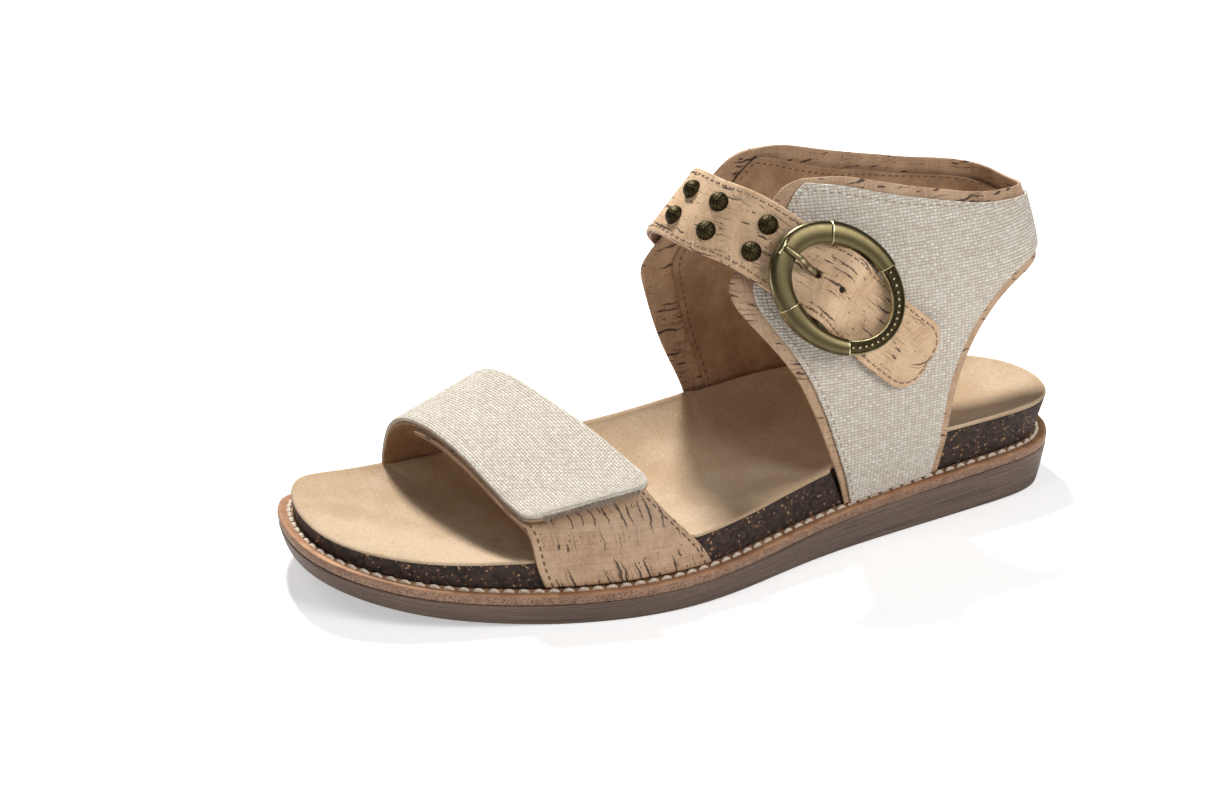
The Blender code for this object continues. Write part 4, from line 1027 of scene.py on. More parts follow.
def sheet_piece(name, grid, normal, thickness, finish, nodes=(), radius=1.0, cloth=None,
                relief=None):
    """Closed sheet under a grid of its outer face; finish is (outer, inner, edge) or one material."""
    rows, columns = grid.shape[:2]
    u, v = grid_lengths(grid)
    inside = np.clip(edge_distance(u, v) / radius, 0, 1)
    fall = (1 - np.sqrt(1 - (1 - inside) ** 2)) * thickness / 2 * 0.92
    lift = 0.0 if relief is None else relief[..., None]
    outer = grid + normal * (lift - fall[..., None])
    inner = grid - normal * (thickness - fall[..., None])
    points = np.concatenate([outer.reshape(-1, 3), inner.reshape(-1, 3)])
    pairs = (np.stack([u, v], axis=2) if cloth is None else cloth).reshape(-1, 2)
    faces, indexes = [], []
    back = rows * columns
    for r in range(rows - 1):
        for c in range(columns - 1):
            a = r * columns + c
            quad = (a, a + 1, a + columns + 1, a + columns)
            faces += [quad, tuple(back + k for k in reversed(quad))]
            indexes += [0, 1]
    border = list(range(columns)) + [r * columns + columns - 1 for r in range(1, rows)]
    border += [(rows - 1) * columns + c for c in range(columns - 2, -1, -1)]
    border += [r * columns for r in range(rows - 2, 0, -1)]
    for i, a in enumerate(border):
        b = border[(i + 1) % len(border)]
        faces.append((a, b, back + b, back + a))
        indexes.append(2)
    finishes = finish if isinstance(finish, tuple) else (finish, finish, finish)
    return make_piece(name, points, faces, finishes, nodes, np.concatenate([pairs, pairs]), indexes)


def dense_ends(count, length, reach=1.4):
    """Shares from 0 to 1 with extra lines close to both ends: count and ten more."""
    first = np.array([0.0, 0.06, 0.18, 0.38, 0.66, 1.0]) * reach / length
    last = 1 - first[::-1]
    middle = np.linspace(first[-1], last[0], count)[1:-1]
    return np.concatenate([first, middle, last])


def seam_on_grid(grid, normal, path, pitch):
    """Stitch places along a path of (row share, column share) on a grid."""
    rows, columns = grid.shape[:2]

    u, v = grid_lengths(grid)
    u_share = u.mean(axis=0) / u.mean(axis=0)[-1]
    v_share = v.mean(axis=1) / v.mean(axis=1)[-1]

    def at(field, r, c):
        r, c = np.interp(r, v_share, np.arange(rows)), np.interp(c, u_share, np.arange(columns))
        r0, c0 = min(int(r), rows - 2), min(int(c), columns - 2)
        fr, fc = r - r0, c - c0
        low = field[r0, c0] * (1 - fc) + field[r0, c0 + 1] * fc
        high = field[r0 + 1, c0] * (1 - fc) + field[r0 + 1, c0 + 1] * fc
        return low * (1 - fr) + high * fr

    line = np.array([at(grid, r, c) for r, c in path])
    ups = unit(np.array([at(normal, r, c) for r, c in path]))
    length = np.concatenate([[0.0], np.cumsum(np.linalg.norm(np.diff(line, axis=0), axis=1))])
    stops = np.arange(pitch / 2, length[-1], pitch)
    place = np.stack([np.interp(stops, length, line[:, k]) for k in range(3)], axis=1)
    ahead = np.stack([np.interp(stops + 0.3, length, line[:, k]) for k in range(3)], axis=1)
    behind = np.stack([np.interp(stops - 0.3, length, line[:, k]) for k in range(3)], axis=1)
    up = unit(np.stack([np.interp(stops, length, ups[:, k]) for k in range(3)], axis=1))
    direction = unit(ahead - behind)
    return place, direction, unit(up - direction * (up * direction).sum(axis=1, keepdims=True))


print("sheet helpers ready")

# %% [markdown]
# Forefoot straps
#
# A strap of cork cloth stands on the outer side of the sole, and a wider strap of linen comes over
# from the inner side and lies on it.  Both are given by the places of their front and rear edge at
# a few stations, and curves fill in the rest.  Under each lies a brown lining, whose cut edge
# shows below the face.

# %% Strap tables
# front x, y, z and rear x, y, z
FOREFOOT_UNDER = (
    (39.6, -69.0, 10.9, 46.4, -16.6, 11.4), (40.3, -71.0, 17.0, 45.8, -20.5, 18.0),
    (39.9, -72.3, 24.0, 44.2, -26.5, 25.0), (36.4, -73.4, 29.6, 41.2, -33.0, 33.0),
    (29.5, -75.0, 31.6, 35.0, -36.8, 39.2), (18.0, -77.2, 34.9, 20.0, -41.6, 44.3),
    (2.5, -80.0, 39.0, 4.0, -46.4, 47.9), (-13.0, -82.8, 41.0, -9.0, -50.2, 50.4),
    (-24.0, -84.6, 40.4, -19.0, -53.2, 51.6),
)
FOREFOOT_OVER = (
    (-41.9, -88.4, 11.0, -40.3, -58.0, 11.3), (-42.6, -88.3, 21.8, -42.0, -58.6, 24.0),
    (-42.1, -88.0, 28.9, -42.3, -59.2, 36.0), (-39.4, -87.5, 36.0, -39.6, -59.2, 46.0),
    (-34.4, -86.7, 40.5, -33.6, -57.6, 52.6), (-28.3, -85.6, 43.0, -25.6, -55.2, 55.2),
    (-15.7, -83.3, 44.3, -14.5, -51.9, 54.8), (2.5, -80.1, 42.3, 0.2, -47.6, 52.3),
    (18.0, -77.4, 38.0, 14.6, -43.3, 49.4), (29.4, -75.3, 34.9, 29.2, -39.1, 45.2),
    (38.4, -73.7, 34.0, 44.6, -34.5, 40.2),
)
FOREFOOT_CORNER = 5.0
SIDE_BULGE_TOP = 34.0
SIDE_BULGE_FADE = 18.0


def welt_x(y, side):
    """x of the welt's edge on one side."""
    angle = np.arccos(np.clip(y / HALF_LENGTH, -1, 1))
    return OUTLINE_X(np.where(side > 0, angle, 2 * math.pi - angle))


def plain_rim(y, side):
    """Height of the footbed's rim on one side."""
    return welt_top(y) + GAP + RIM_OUTER(y) + np.where(side < 0, RIM_INNER_EXTRA(y), 0.0)


def leg_x(y, z, side):
    """Distance from the middle to the face of a strap that stands on the welt."""
    low = welt_top(y) + GAP
    share = np.clip((z - low) / (plain_rim(y, side) - low), 0.0, 1.0)
    return np.abs(welt_x(y, side)) - STITCH_BAND - (RIM_INSET(y) - STITCH_BAND) * share + STRAP_PROUD


def forefoot_grid(table, count, corner):
    """Grid of a forefoot strap between its front and rear edge, with rounded corners at its end."""
    rows = np.array(table)
    middle = (rows[:, :3] + rows[:, 3:]) / 2
    length = np.concatenate([[0.0], np.cumsum(np.linalg.norm(np.diff(middle, axis=0), axis=1))])
    lines = [curve(length, rows[:, k]) for k in range(6)]
    total = float(length[-1])
    places = np.linspace(0, total, count)
    if corner:
        turned = total - corner * (1 - np.sin(np.linspace(0, math.pi / 2, 16)[1:]))
        places = np.concatenate([np.linspace(0, total - corner, count - 15), turned])
    front = np.stack([line(places) for line in lines[:3]], axis=1)
    rear = np.stack([line(places) for line in lines[3:]], axis=1)
    over = np.maximum(0.0, places - (total - corner)) if corner else np.zeros_like(places)
    short = corner - np.sqrt(np.maximum(0.0, corner ** 2 - over ** 2))
    width = np.linalg.norm(rear - front, axis=1)
    shares = dense_ends(30, float(width.mean()))
    v = (short / width)[None, :] + (1 - 2 * short / width)[None, :] * shares[:, None]
    grid = front[None] + (rear - front)[None] * v[..., None]
    side = np.where(grid[..., 0] > 0, 1, -1)
    bulge = side * leg_x(grid[..., 1], grid[..., 2], side) - grid[..., 0]
    grid[..., 0] += bulge * smooth_step((SIDE_BULGE_TOP - grid[..., 2]) / SIDE_BULGE_FADE)
    return grid


def on_welt(grid):
    """Grid lifted to stand on the welt where it would reach into it."""
    result = grid.copy()
    result[..., 2] = np.maximum(grid[..., 2], welt_top(grid[..., 1]) + GAP)
    return result


# %% Forefoot strap pieces
UNDER_CORK = 1.25
UNDER_LINING = 0.7
OVER_LINEN = 1.7
OVER_LINING = 0.85


def make_forefoot_straps():
    under = on_welt(forefoot_grid(FOREFOOT_UNDER, 90, 0.0))
    normal = grid_normals(under)
    normal *= np.sign(normal[..., 2].mean())
    sheet_piece("forefoot_cork_strap", under, normal, UNDER_CORK, (CORK, CORK_EDGE, CORK_EDGE),
                ["forefoot_strap_under"], 0.5)
    sheet_piece("forefoot_cork_lining", under - normal * (UNDER_CORK + 0.04), normal, UNDER_LINING,
                SUEDE_LINING, ["forefoot_strap_under"], 0.35)
    for label, row in (("front", 0.045), ("rear", 0.955)):
        path = [(row, c) for c in np.linspace(0.0, 0.75, 60)]
        stitches(f"cork_strap_seam_{label}", *seam_on_grid(under, normal, path, 2.5), BROWN_THREAD,
                 "cork_fabric", length=1.9, width=0.55, height=0.4, sink=0.2)
    over = forefoot_grid(FOREFOOT_OVER, 120, FOREFOOT_CORNER)
    over = on_welt(over)
    top = grid_normals(over)
    top *= np.sign(top[..., 2].mean())
    sheet_piece("forefoot_linen_strap", over, top, OVER_LINEN, LINEN_STRAP,
                ["forefoot_strap_over"], 1.1)
    lining = over - top * (OVER_LINEN + 0.04)
    sheet_piece("forefoot_linen_lining", lining, top, OVER_LINING, SUEDE_LINING,
                ["forefoot_strap_over"], 0.5)
    return over, top


OVER_GRID, OVER_NORMAL = make_forefoot_straps()


# %% Fuzz of the raw linen edge
def make_fuzz(seed=7, count=1500):
    """Short curled fibres that stand out of the raw end and front edge of the linen strap."""
    rng = np.random.default_rng(seed)
    rows, columns = OVER_GRID.shape[:2]
    points, faces = [], []
    for n in range(count):
        if n % 3:
            r, c = rng.uniform(0.02, 0.98), 1.0
        else:
            r, c = 0.0, rng.uniform(0.3, 1.0)
        ri, ci = int(r * (rows - 1)), int(c * (columns - 1))
        inward = OVER_GRID[min(ri + 3, rows - 1) if r == 0.0 else ri, ci if r == 0.0 else ci - 4]
        away = unit(OVER_GRID[ri, ci] - inward)
        normal = OVER_NORMAL[ri, ci]
        root = OVER_GRID[ri, ci] - normal * rng.uniform(0.9, 2.5) - away * 0.2
        side = np.cross(normal, away)
        lean = away * rng.uniform(0.5, 1.0) - normal * rng.uniform(-0.1, 0.9) + side * rng.normal(0, 0.7)
        curl = side * rng.normal(0, 0.9) - normal * rng.uniform(-0.3, 0.8)
        reach = rng.uniform(0.7, 1.7) * (0.5 if r == 0.0 else 1.0)
        start = len(points)
        for s in range(4):
            t = s / 3
            middle = root + lean * t * reach + curl * t * t * reach * 0.6
            thin = 0.085 * (1 - 0.6 * t)
            for k in range(3):
                turn = 2 * math.pi * k / 3
                points.append(middle + side * math.cos(turn) * thin + normal * math.sin(turn) * thin)
        faces += ring_faces(3, 4, start)
        faces += [(start, start + 1, start + 2), (start + 9, start + 10, start + 11)]
    return make_piece("linen_fuzz", points, faces, GREY_THREAD)


make_fuzz()

# %% [markdown]
# Ankle form
#
# A cuff keeps the shape of the last it was pulled over, so the script first describes that form:
# a half width and a back at each height, a full curve over the instep, and a blend into the
# straight legs that stand on the sole.  The cuff and the instep strap are then drawn on it.

# %% Ankle tables
ANKLE_WIDTHS = (
    (14.0, 34.3), (30.0, 34.2), (47.0, 33.4), (62.0, 33.0), (77.0, 31.8), (86.0, 29.8), (95.0, 26.8),
    (105.0, 23.2), (118.0, 19.3), (126.0, 17.5),
)
ANKLE_BACK = ((14.0, 121.0), (60.0, 124.0), (71.0, 123.3), (85.0, 121.5), (100.0, 117.5), (118.0, 112.0))
# The front of the instep: y at one level and its slope, as y over z
INSTEP_LEVEL = 97.0
INSTEP_Y = -7.0
INSTEP_SLOPE = 0.84
FRONT_FULLNESS = {1: 2.0, -1: 2.6}
FRONT_CURVE_Y = 48.0
BACK_CURVE_Y = 80.0
BACK_START_Y = 66.0
BACK_FULLNESS = {1: 2.4, -1: 3.4}
ANKLE_MIDDLE_Y = 60.0
HEEL_RUN = 150.0
LEG_BLEND = 28.0
ANKLE_WIDTH = table_curve(ANKLE_WIDTHS, 1)
ANKLE_BACK_Y = table_curve(ANKLE_BACK, 1)


def instep_y(z):
    return INSTEP_Y + INSTEP_SLOPE * (z - INSTEP_LEVEL)


def ankle_point(run, z, side):
    """Point of the ankle form; run is y on the side and goes on round the heel to HEEL_RUN."""
    width = float(ANKLE_WIDTH(z))
    y = run
    if run > BACK_CURVE_Y:
        turn = math.pi / 2 * (run - BACK_CURVE_Y) / (HEEL_RUN - BACK_CURVE_Y)
        y = BACK_CURVE_Y + (float(ANKLE_BACK_Y(z)) - BACK_CURVE_Y) * math.sin(turn)
    x = width
    if run < FRONT_CURVE_Y:
        share = min(1.0, (FRONT_CURVE_Y - run) / (FRONT_CURVE_Y - instep_y(z)))
        fullness = FRONT_FULLNESS[side]
        x = width * (1 - share ** fullness) ** (1 / fullness)
    leg_y = min(run, BACK_CURVE_Y)
    blend = float(smooth_step((z - float(plain_rim(leg_y, side))) / LEG_BLEND))
    x = float(leg_x(leg_y, z, side)) * (1 - blend) + x * blend
    back = min(1.0, max(0.0, y - BACK_START_Y) / (float(ANKLE_BACK_Y(z)) - BACK_START_Y))
    full = BACK_FULLNESS[side]
    x *= (1 - back ** full) ** (1 / full)
    return np.array((side * x, y, z))


print("front of the instep at the strap:", round(instep_y(INSTEP_LEVEL), 1), "mm")


# %% [markdown]
# Ankle cuff
#
# The cuff is one piece of cork cloth with two legs, high front corners and a scooped heel.  Its
# outline is given as four edges: the legs and rear edge below, the top edge, and the front edge
# on each side.  A grid is stretched between them and wrapped on the ankle form.  Suede lines it
# inside, ending short of the top, and a linen panel is laid on it outside.  The panel has its own
# grid, whose rear edge is drawn in, so that a border of cork shows all round.

# %% Cuff tables
CUFF_LEG_END = 0.40
CUFF_LEG = ((0.0, 37.5, 14.3), (0.2, 56.0, 15.3), (0.4, 75.0, 16.4))
CUFF_INNER_LEG = ((0.0, 15.5, 14.6), (0.2, 45.0, 14.9), (0.4, 75.0, 16.4))
CUFF_REAR_EDGE = (
    (0.40, 75.0, 16.4), (0.47, 76.4, 33.0), (0.55, 78.6, 48.0), (0.63, 83.5, 60.0), (0.72, 93.0, 70.5),
    (0.82, 109.0, 77.0), (0.91, 130.0, 79.0), (1.0, 150.0, 79.0),
)
CUFF_TOP_EDGE = (
    (0.0, 29.0, 117.6), (0.12, 40.0, 117.4), (0.25, 51.0, 115.1), (0.40, 65.0, 111.6),
    (0.55, 80.0, 108.4), (0.70, 95.0, 106.0), (0.85, 116.0, 104.2), (1.0, 150.0, 101.5),
)
CUFF_FRONT = {
    1: (
        (37.5, 14.3), (34.0, 24.0), (30.0, 34.3), (25.4, 48.1), (19.9, 59.3), (12.7, 69.4), (5.9, 77.9),
        (2.6, 83.4), (2.2, 88.2), (6.5, 93.5), (13.5, 103.0), (20.2, 112.9), (23.6, 115.8), (29.0, 117.6),
    ),
    -1: (
        (15.5, 14.6), (14.5, 24.0), (12.3, 34.3), (6.2, 49.3), (0.1, 64.6), (-5.0, 77.0), (-6.9, 82.5),
        (-6.0, 87.0), (-1.5, 92.5), (6.0, 101.5), (13.0, 109.0), (18.7, 114.8), (23.2, 117.0),
        (29.0, 117.6),
    ),
}
FRONT_BULGE_REACH = 0.34
SMALL_STEP = 0.004
LEG_LINES = {1: (table_curve(CUFF_LEG, 1), table_curve(CUFF_LEG, 2)),
             -1: (table_curve(CUFF_INNER_LEG, 1), table_curve(CUFF_INNER_LEG, 2))}
REAR_RUN, REAR_Z = table_curve(CUFF_REAR_EDGE, 1), table_curve(CUFF_REAR_EDGE, 2)
TOP_RUN, TOP_Z = table_curve(CUFF_TOP_EDGE, 1), table_curve(CUFF_TOP_EDGE, 2)


def front_line(table):
    """Run and height of a front edge over its share of length, from the welt to the top."""
    points = np.array(table)
    length = np.concatenate([[0.0], np.cumsum(np.hypot(*np.diff(points, axis=0).T))])
    return curve(length / length[-1], points[:, 0]), curve(length / length[-1], points[:, 1])


FRONT_LINES = {side: front_line(table) for side, table in CUFF_FRONT.items()}
print("heel scoop at", float(REAR_Z(1.0)), "mm and cuff top at", float(TOP_Z(1.0)), "mm over the heel")


def cuff_place(around, up, side, rear_inset=0.0):
    """Run and height on the cuff: around 0 at its front edge and 1 at the heel, up 0 to 1."""
    if around < CUFF_LEG_END:
        low_run, low_z = (float(line(around)) for line in LEG_LINES[side])
        low_run -= rear_inset * around / CUFF_LEG_END
    else:
        edge_run = float(REAR_RUN(around + SMALL_STEP) - REAR_RUN(around - SMALL_STEP))
        edge_z = float(REAR_Z(around + SMALL_STEP) - REAR_Z(around - SMALL_STEP))
        edge = math.hypot(edge_run, edge_z)
        low_run = float(REAR_RUN(around)) - rear_inset * edge_z / edge
        low_z = float(REAR_Z(around)) + rear_inset * edge_run / edge
    run = low_run + (float(TOP_RUN(around)) - low_run) * up
    z = low_z + (float(TOP_Z(around)) - low_z) * up
    if around < FRONT_BULGE_REACH:
        fade = (1 - around / FRONT_BULGE_REACH) ** 2
        line_run, line_z = FRONT_LINES[side]
        run += fade * (float(line_run(up)) - float(line_run(0)) * (1 - up) - float(line_run(1)) * up)
        z += fade * (float(line_z(up)) - float(line_z(0)) * (1 - up) - float(line_z(1)) * up)
    return run, z


# %% Cuff grid
CUFF_ROWS = 72
CUFF_COLUMNS = 240
# Usual height and length of the cuff, which set how close its edge lines lie
CUFF_HEIGHT = 75.0
CUFF_ROUND = 280.0
CLOTH_LEVEL = 90.0


def unrolled(run, side):
    """Length round the ankle form from the middle of the heel, measured on one level."""
    stops = np.linspace(run, HEEL_RUN, 40)
    level = np.array([ankle_point(stop, CLOTH_LEVEL, side) for stop in stops])
    return side * float(np.linalg.norm(np.diff(level, axis=0), axis=1).sum())


def make_cuff_field(rear_inset):
    """Fine grid of the cuff's outer face with its cloth coordinates, which every piece samples."""
    field = np.zeros((CUFF_ROWS, CUFF_COLUMNS + 1, 5))
    runs = np.linspace(-10.0, HEEL_RUN, 161)
    lengths = {side: [unrolled(run, side) for run in runs] for side in (1, -1)}
    for c in range(CUFF_COLUMNS + 1):
        share = c / CUFF_COLUMNS * 2
        side = 1 if share <= 1 else -1
        around = share if share <= 1 else 2 - share
        for r in range(CUFF_ROWS):
            run, z = cuff_place(around, r / (CUFF_ROWS - 1), side, rear_inset)
            field[r, c, :3] = ankle_point(run, z, side)
            field[r, c, 3:] = float(np.interp(run, runs, lengths[side])), z
    return field


PANEL_BORDER = 3.6
CUFF_FIELD = make_cuff_field(0.0)
PANEL_FIELD = make_cuff_field(PANEL_BORDER)


def cuff_part(front, top, leg, rear, columns, rows, field=CUFF_FIELD):
    """Grid and cloth coordinates that stay inside the cuff's edges by these margins in millimetres."""
    grid = np.zeros((rows + 10, columns + 10, 5))
    count = field.shape[1]
    field_u, field_v = grid_lengths(field[..., :3])
    ups = dense_ends(rows, CUFF_HEIGHT)
    alongs = dense_ends(columns, CUFF_ROUND)
    for i, along in enumerate(alongs):
        height = float(np.interp(along, np.linspace(0, 1, count), field_v[-1]))
        around = 1 - abs(2 * along - 1)
        rear_share = float(smooth_step((around - CUFF_LEG_END + 0.02) / 0.05))
        low = leg + (rear - leg) * rear_share
        for j, up in enumerate(ups):
            r = (low / height + (1 - (low + top) / height) * up) * (CUFF_ROWS - 1)
            width = float(np.interp(r, np.arange(CUFF_ROWS), field_u[:, -1]))
            c = (front / width + (1 - 2 * front / width) * along) * (count - 1)
            r0, c0 = min(int(r), CUFF_ROWS - 2), min(int(c), count - 2)
            fr, fc = r - r0, c - c0
            lower = field[r0, c0] * (1 - fc) + field[r0, c0 + 1] * fc
            upper = field[r0 + 1, c0] * (1 - fc) + field[r0 + 1, c0 + 1] * fc
            grid[j, i] = lower * (1 - fr) + upper * fr
    return grid[..., :3], grid[..., 3:]


def outward(grid):
    """Normals of a grid round the ankle that point away from the leg."""
    normal = grid_normals(grid)
    away = grid - np.array((0.0, ANKLE_MIDDLE_Y, 0.0))
    away[..., 2] = 0
    return normal * np.sign((normal * away).sum(axis=2).mean())


print("cuff grid:", CUFF_FIELD.shape[:2])


# %% Cuff pieces
CUFF_CORK = 1.1
LINING = 0.85
LINEN = 0.9
LINING_STANDS_OFF = 1.3
# How far the lining ends short of the front, top and rear edges
LINING_FRONT = 7.0
LINING_TOP = 5.5
LINING_REAR = 1.2


def border_path(rows_low, rows_high, columns_low, columns_high):
    """Path round a grid as (row share, column share): up the front, along the top and down."""
    up = [(r, columns_low) for r in np.linspace(rows_low, rows_high, 60)]
    top = [(rows_high, c) for c in np.linspace(columns_low, columns_high, 160)]
    down = [(r, columns_high) for r in np.linspace(rows_high, rows_low, 60)]
    return up + top + down


def make_cuff():
    cork, cloth = cuff_part(0.0, 0.0, 0.0, 0.0, 200, 60)
    cork = on_welt(cork)
    normal = outward(cork)
    sheet_piece("cuff_cork", cork, normal, CUFF_CORK, (CORK, CORK, CORK_EDGE),
                ["ankle_cuff"], 0.55, cloth=cloth)
    lining, cloth = cuff_part(LINING_FRONT, LINING_TOP, 0.0, LINING_REAR, 170, 44)
    lining_normal = outward(lining)
    free = smooth_step((np.linspace(0, 1, len(lining)) - 0.72) / 0.28)[:, None, None]
    inside = on_welt(lining - lining_normal * (CUFF_CORK + 0.04 + LINING_STANDS_OFF * free))
    sheet_piece("cuff_lining", inside, lining_normal, LINING, (SUEDE_LINING, SUEDE_LINING, SUEDE_COVER),
                ["ankle_cuff"], 0.4, cloth=cloth)
    path = border_path(0.02, 0.975, 0.007, 0.993)
    seam = seam_on_grid(inside - lining_normal * LINING, -lining_normal, path, 2.7)
    stitches("lining_seam", *seam, BROWN_THREAD, "cork_fabric", length=2.0, width=0.5, height=0.35,
             sink=0.2)
    panel, cloth = cuff_part(PANEL_BORDER, PANEL_BORDER, 0.3, 0.0, 190, 52, PANEL_FIELD)
    panel_normal = outward(panel)
    puff = panel + panel_normal * (GAP / 2 + LINEN)
    sheet_piece("cuff_linen", puff, panel_normal, LINEN, LINEN_CUFF, ["cuff_linen_panel"], 0.7,
                cloth=cloth)
    path = border_path(0.02, 0.975, 0.0075, 0.9925)
    stitches("linen_seam", *seam_on_grid(puff, panel_normal, path, 2.7), GREY_THREAD, "linen",
             length=2.1, width=0.5, height=0.4, sink=0.25)


make_cuff()

# %% [markdown]
# Instep strap
#
# The strap starts on the inner side of the cuff, passes over the front of the ankle and runs
# through the buckle, over its bar, to a rounded end on the outer side.  Its middle line is given
# by the angle round the ankle and the height, and the strap humps up over the bar as leather
# does.  The holes lie on that line: the prong's own and the next one.

# %% Strap line
# angle round the front in degrees, z
INSTEP_PATH = (
    (-10.6, 58.2), (-1.5, 69.4), (12.1, 84.1), (27.0, 93.8), (40.6, 100.2), (71.5, 105.8),
    (92.0, 106.4), (112.0, 104.4), (135.0, 98.0), (152.0, 90.5), (166.0, 82.5), (179.0, 75.0),
)
INSTEP_WIDTH = 24.0
INSTEP_THICKNESS = 2.2
INSTEP_LIFT = 1.6
INSTEP_CORNER = 7.5
BUCKLE_ANGLE = 14.2
BAR_RISE = 4.9
BAR_REACH = 6.5
BAR_DROP = 1.7


def instep_point(angle, z):
    """Point of the ankle form by the angle round its front, 0 outer side and 180 inner side."""
    width = float(ANKLE_WIDTH(z))
    depth = FRONT_CURVE_Y - instep_y(z)
    if angle < 0:
        return np.array((width, FRONT_CURVE_Y - depth * math.radians(angle), z))
    turn = math.radians(angle)
    side = 1 if angle <= 90 else -1
    power = 2 / FRONT_FULLNESS[side]
    x = side * width * abs(math.cos(turn)) ** power
    return np.array((x, FRONT_CURVE_Y - depth * math.sin(turn) ** power, z))


PATH_Z = curve([row[0] for row in INSTEP_PATH], [row[1] for row in INSTEP_PATH])
LINE_ANGLES = np.linspace(INSTEP_PATH[0][0], INSTEP_PATH[-1][0], 400)
LINE_POINTS = np.array([instep_point(a, float(PATH_Z(a))) for a in LINE_ANGLES])
LINE_LENGTH = np.concatenate([[0.0], np.cumsum(np.linalg.norm(np.diff(LINE_POINTS, axis=0), axis=1))])
LINE_ZERO = float(np.interp(BUCKLE_ANGLE, LINE_ANGLES, LINE_LENGTH))
STRAP_START = -LINE_ZERO
STRAP_END = float(LINE_LENGTH[-1]) - LINE_ZERO


def strap_place(along):
    """Angle and height of the strap's middle line, at millimetres along it from the buckle."""
    angle = float(np.interp(along + LINE_ZERO, LINE_LENGTH, LINE_ANGLES))
    return angle, float(PATH_Z(angle))


def strap_frame(along):
    """Point on the ankle form, direction along, direction across and normal."""
    angle, z = strap_place(along)
    tangent = unit(instep_point(*strap_place(along + 0.8)) - instep_point(*strap_place(along - 0.8)))
    round_way = instep_point(angle + 0.5, z) - instep_point(angle - 0.5, z)
    up_way = instep_point(angle, z + 0.5) - instep_point(angle, z - 0.5)
    normal = unit(np.cross(up_way, round_way))
    point = instep_point(angle, z)
    if normal @ (point - np.array((0.0, ANKLE_MIDDLE_Y, z))) < 0:
        normal = -normal
    across = unit(np.cross(normal, tangent))
    if across[2] < 0:
        across = -across
    return point, tangent, across, unit(normal - tangent * (normal @ tangent))


def strap_lift(along):
    """Height of the strap's underside over the ankle form, with its hump over the bar."""
    return INSTEP_LIFT + BAR_RISE * math.exp(-(along / BAR_REACH) ** 2)


def strap_face(along, across, height):
    """Point over the strap's underside."""
    point, _, cross, normal = strap_frame(along)
    return point + cross * across + normal * (strap_lift(along) + height)


print("strap from", round(STRAP_START, 1), "to", round(STRAP_END, 1), "mm along its middle line")

# %% Instep strap piece
HOLES = (7.0, -0.6)
HOLE_RADIUS = 0.9
HOLE_DEPTH = 1.9
SEAM_INSET = 1.9
STRAP_CORK = 1.35
STRAP_BACKING = 0.75
STRAP_CROWN = 0.35


def make_instep_strap():
    turned = STRAP_START + INSTEP_CORNER * (1 - np.cos(np.linspace(0, math.pi / 2, 18)[:-1]))
    rest = np.linspace(STRAP_START + INSTEP_CORNER, STRAP_END, 210)
    round_hole = np.linspace(-1.3, 1.3, 12)
    places = np.sort(np.concatenate([turned, rest] + [hole + round_hole for hole in HOLES]))
    shares = dense_ends(26, INSTEP_WIDTH, 1.0) * 2 - 1
    shares = np.unique(np.concatenate([shares, round_hole / (INSTEP_WIDTH / 2)]))
    grid = np.zeros((len(shares), len(places), 3))
    normal = np.zeros_like(grid)
    for i, along in enumerate(places):
        over = max(0.0, STRAP_START + INSTEP_CORNER - along)
        half = INSTEP_WIDTH / 2 - INSTEP_CORNER + math.sqrt(max(0.0, INSTEP_CORNER ** 2 - over ** 2))
        point, _, cross, up = strap_frame(along)
        crown = STRAP_CROWN * (1 - shares ** 2)
        lift = strap_lift(along) + INSTEP_THICKNESS
        grid[:, i] = point + cross * (shares * half)[:, None] + up * (lift + crown)[:, None]
        normal[:, i] = up
    normal = grid_normals(grid) * np.sign((grid_normals(grid) * normal).sum(axis=2).mean())
    dip = np.zeros(grid.shape[:2])
    for hole in HOLES:
        reach = np.hypot(places[None, :] - hole, shares[:, None] * INSTEP_WIDTH / 2)
        dip -= HOLE_DEPTH * smooth_step((HOLE_RADIUS * 1.25 - reach) / (HOLE_RADIUS * 0.5))
    # The strap's face takes the paler cork copy, which is painted light
    sheet_piece("instep_cork", grid, normal, STRAP_CORK, (CORK_PAINTED_LIGHT, CORK_EDGE, CORK_EDGE),
                ["instep_strap"], 0.6, relief=dip)
    sheet_piece("instep_backing", grid - normal * (STRAP_CORK + 0.05), normal, STRAP_BACKING, CORK_EDGE,
                ["instep_strap"], 0.35)
    low, high = 0.075, 0.925
    length = STRAP_END - STRAP_START
    corner = INSTEP_CORNER - SEAM_INSET
    loop = [(high, c) for c in np.linspace(1.0, INSTEP_CORNER / length, 150)]
    bow = []
    for turn in np.concatenate([np.linspace(90, 10, 12), np.linspace(-10, -90, 12)]):
        along = INSTEP_CORNER - corner * math.cos(math.radians(turn))
        half = INSTEP_WIDTH / 2 - INSTEP_CORNER
        wide = half + math.sqrt(INSTEP_CORNER ** 2 - (INSTEP_CORNER - along) ** 2)
        across = math.copysign(half, turn) + corner * math.sin(math.radians(turn))
        bow.append((0.5 + across / wide / 2, along / length))
    back = [(low, c) for c in np.linspace(INSTEP_CORNER / length, 1.0, 150)]
    seam = seam_on_grid(grid, normal, loop + bow + back, 2.6)
    stitches("instep_seam", *seam, TAN_THREAD, "cork_fabric", length=2.2, width=0.62, height=0.45,
             sink=0.22)


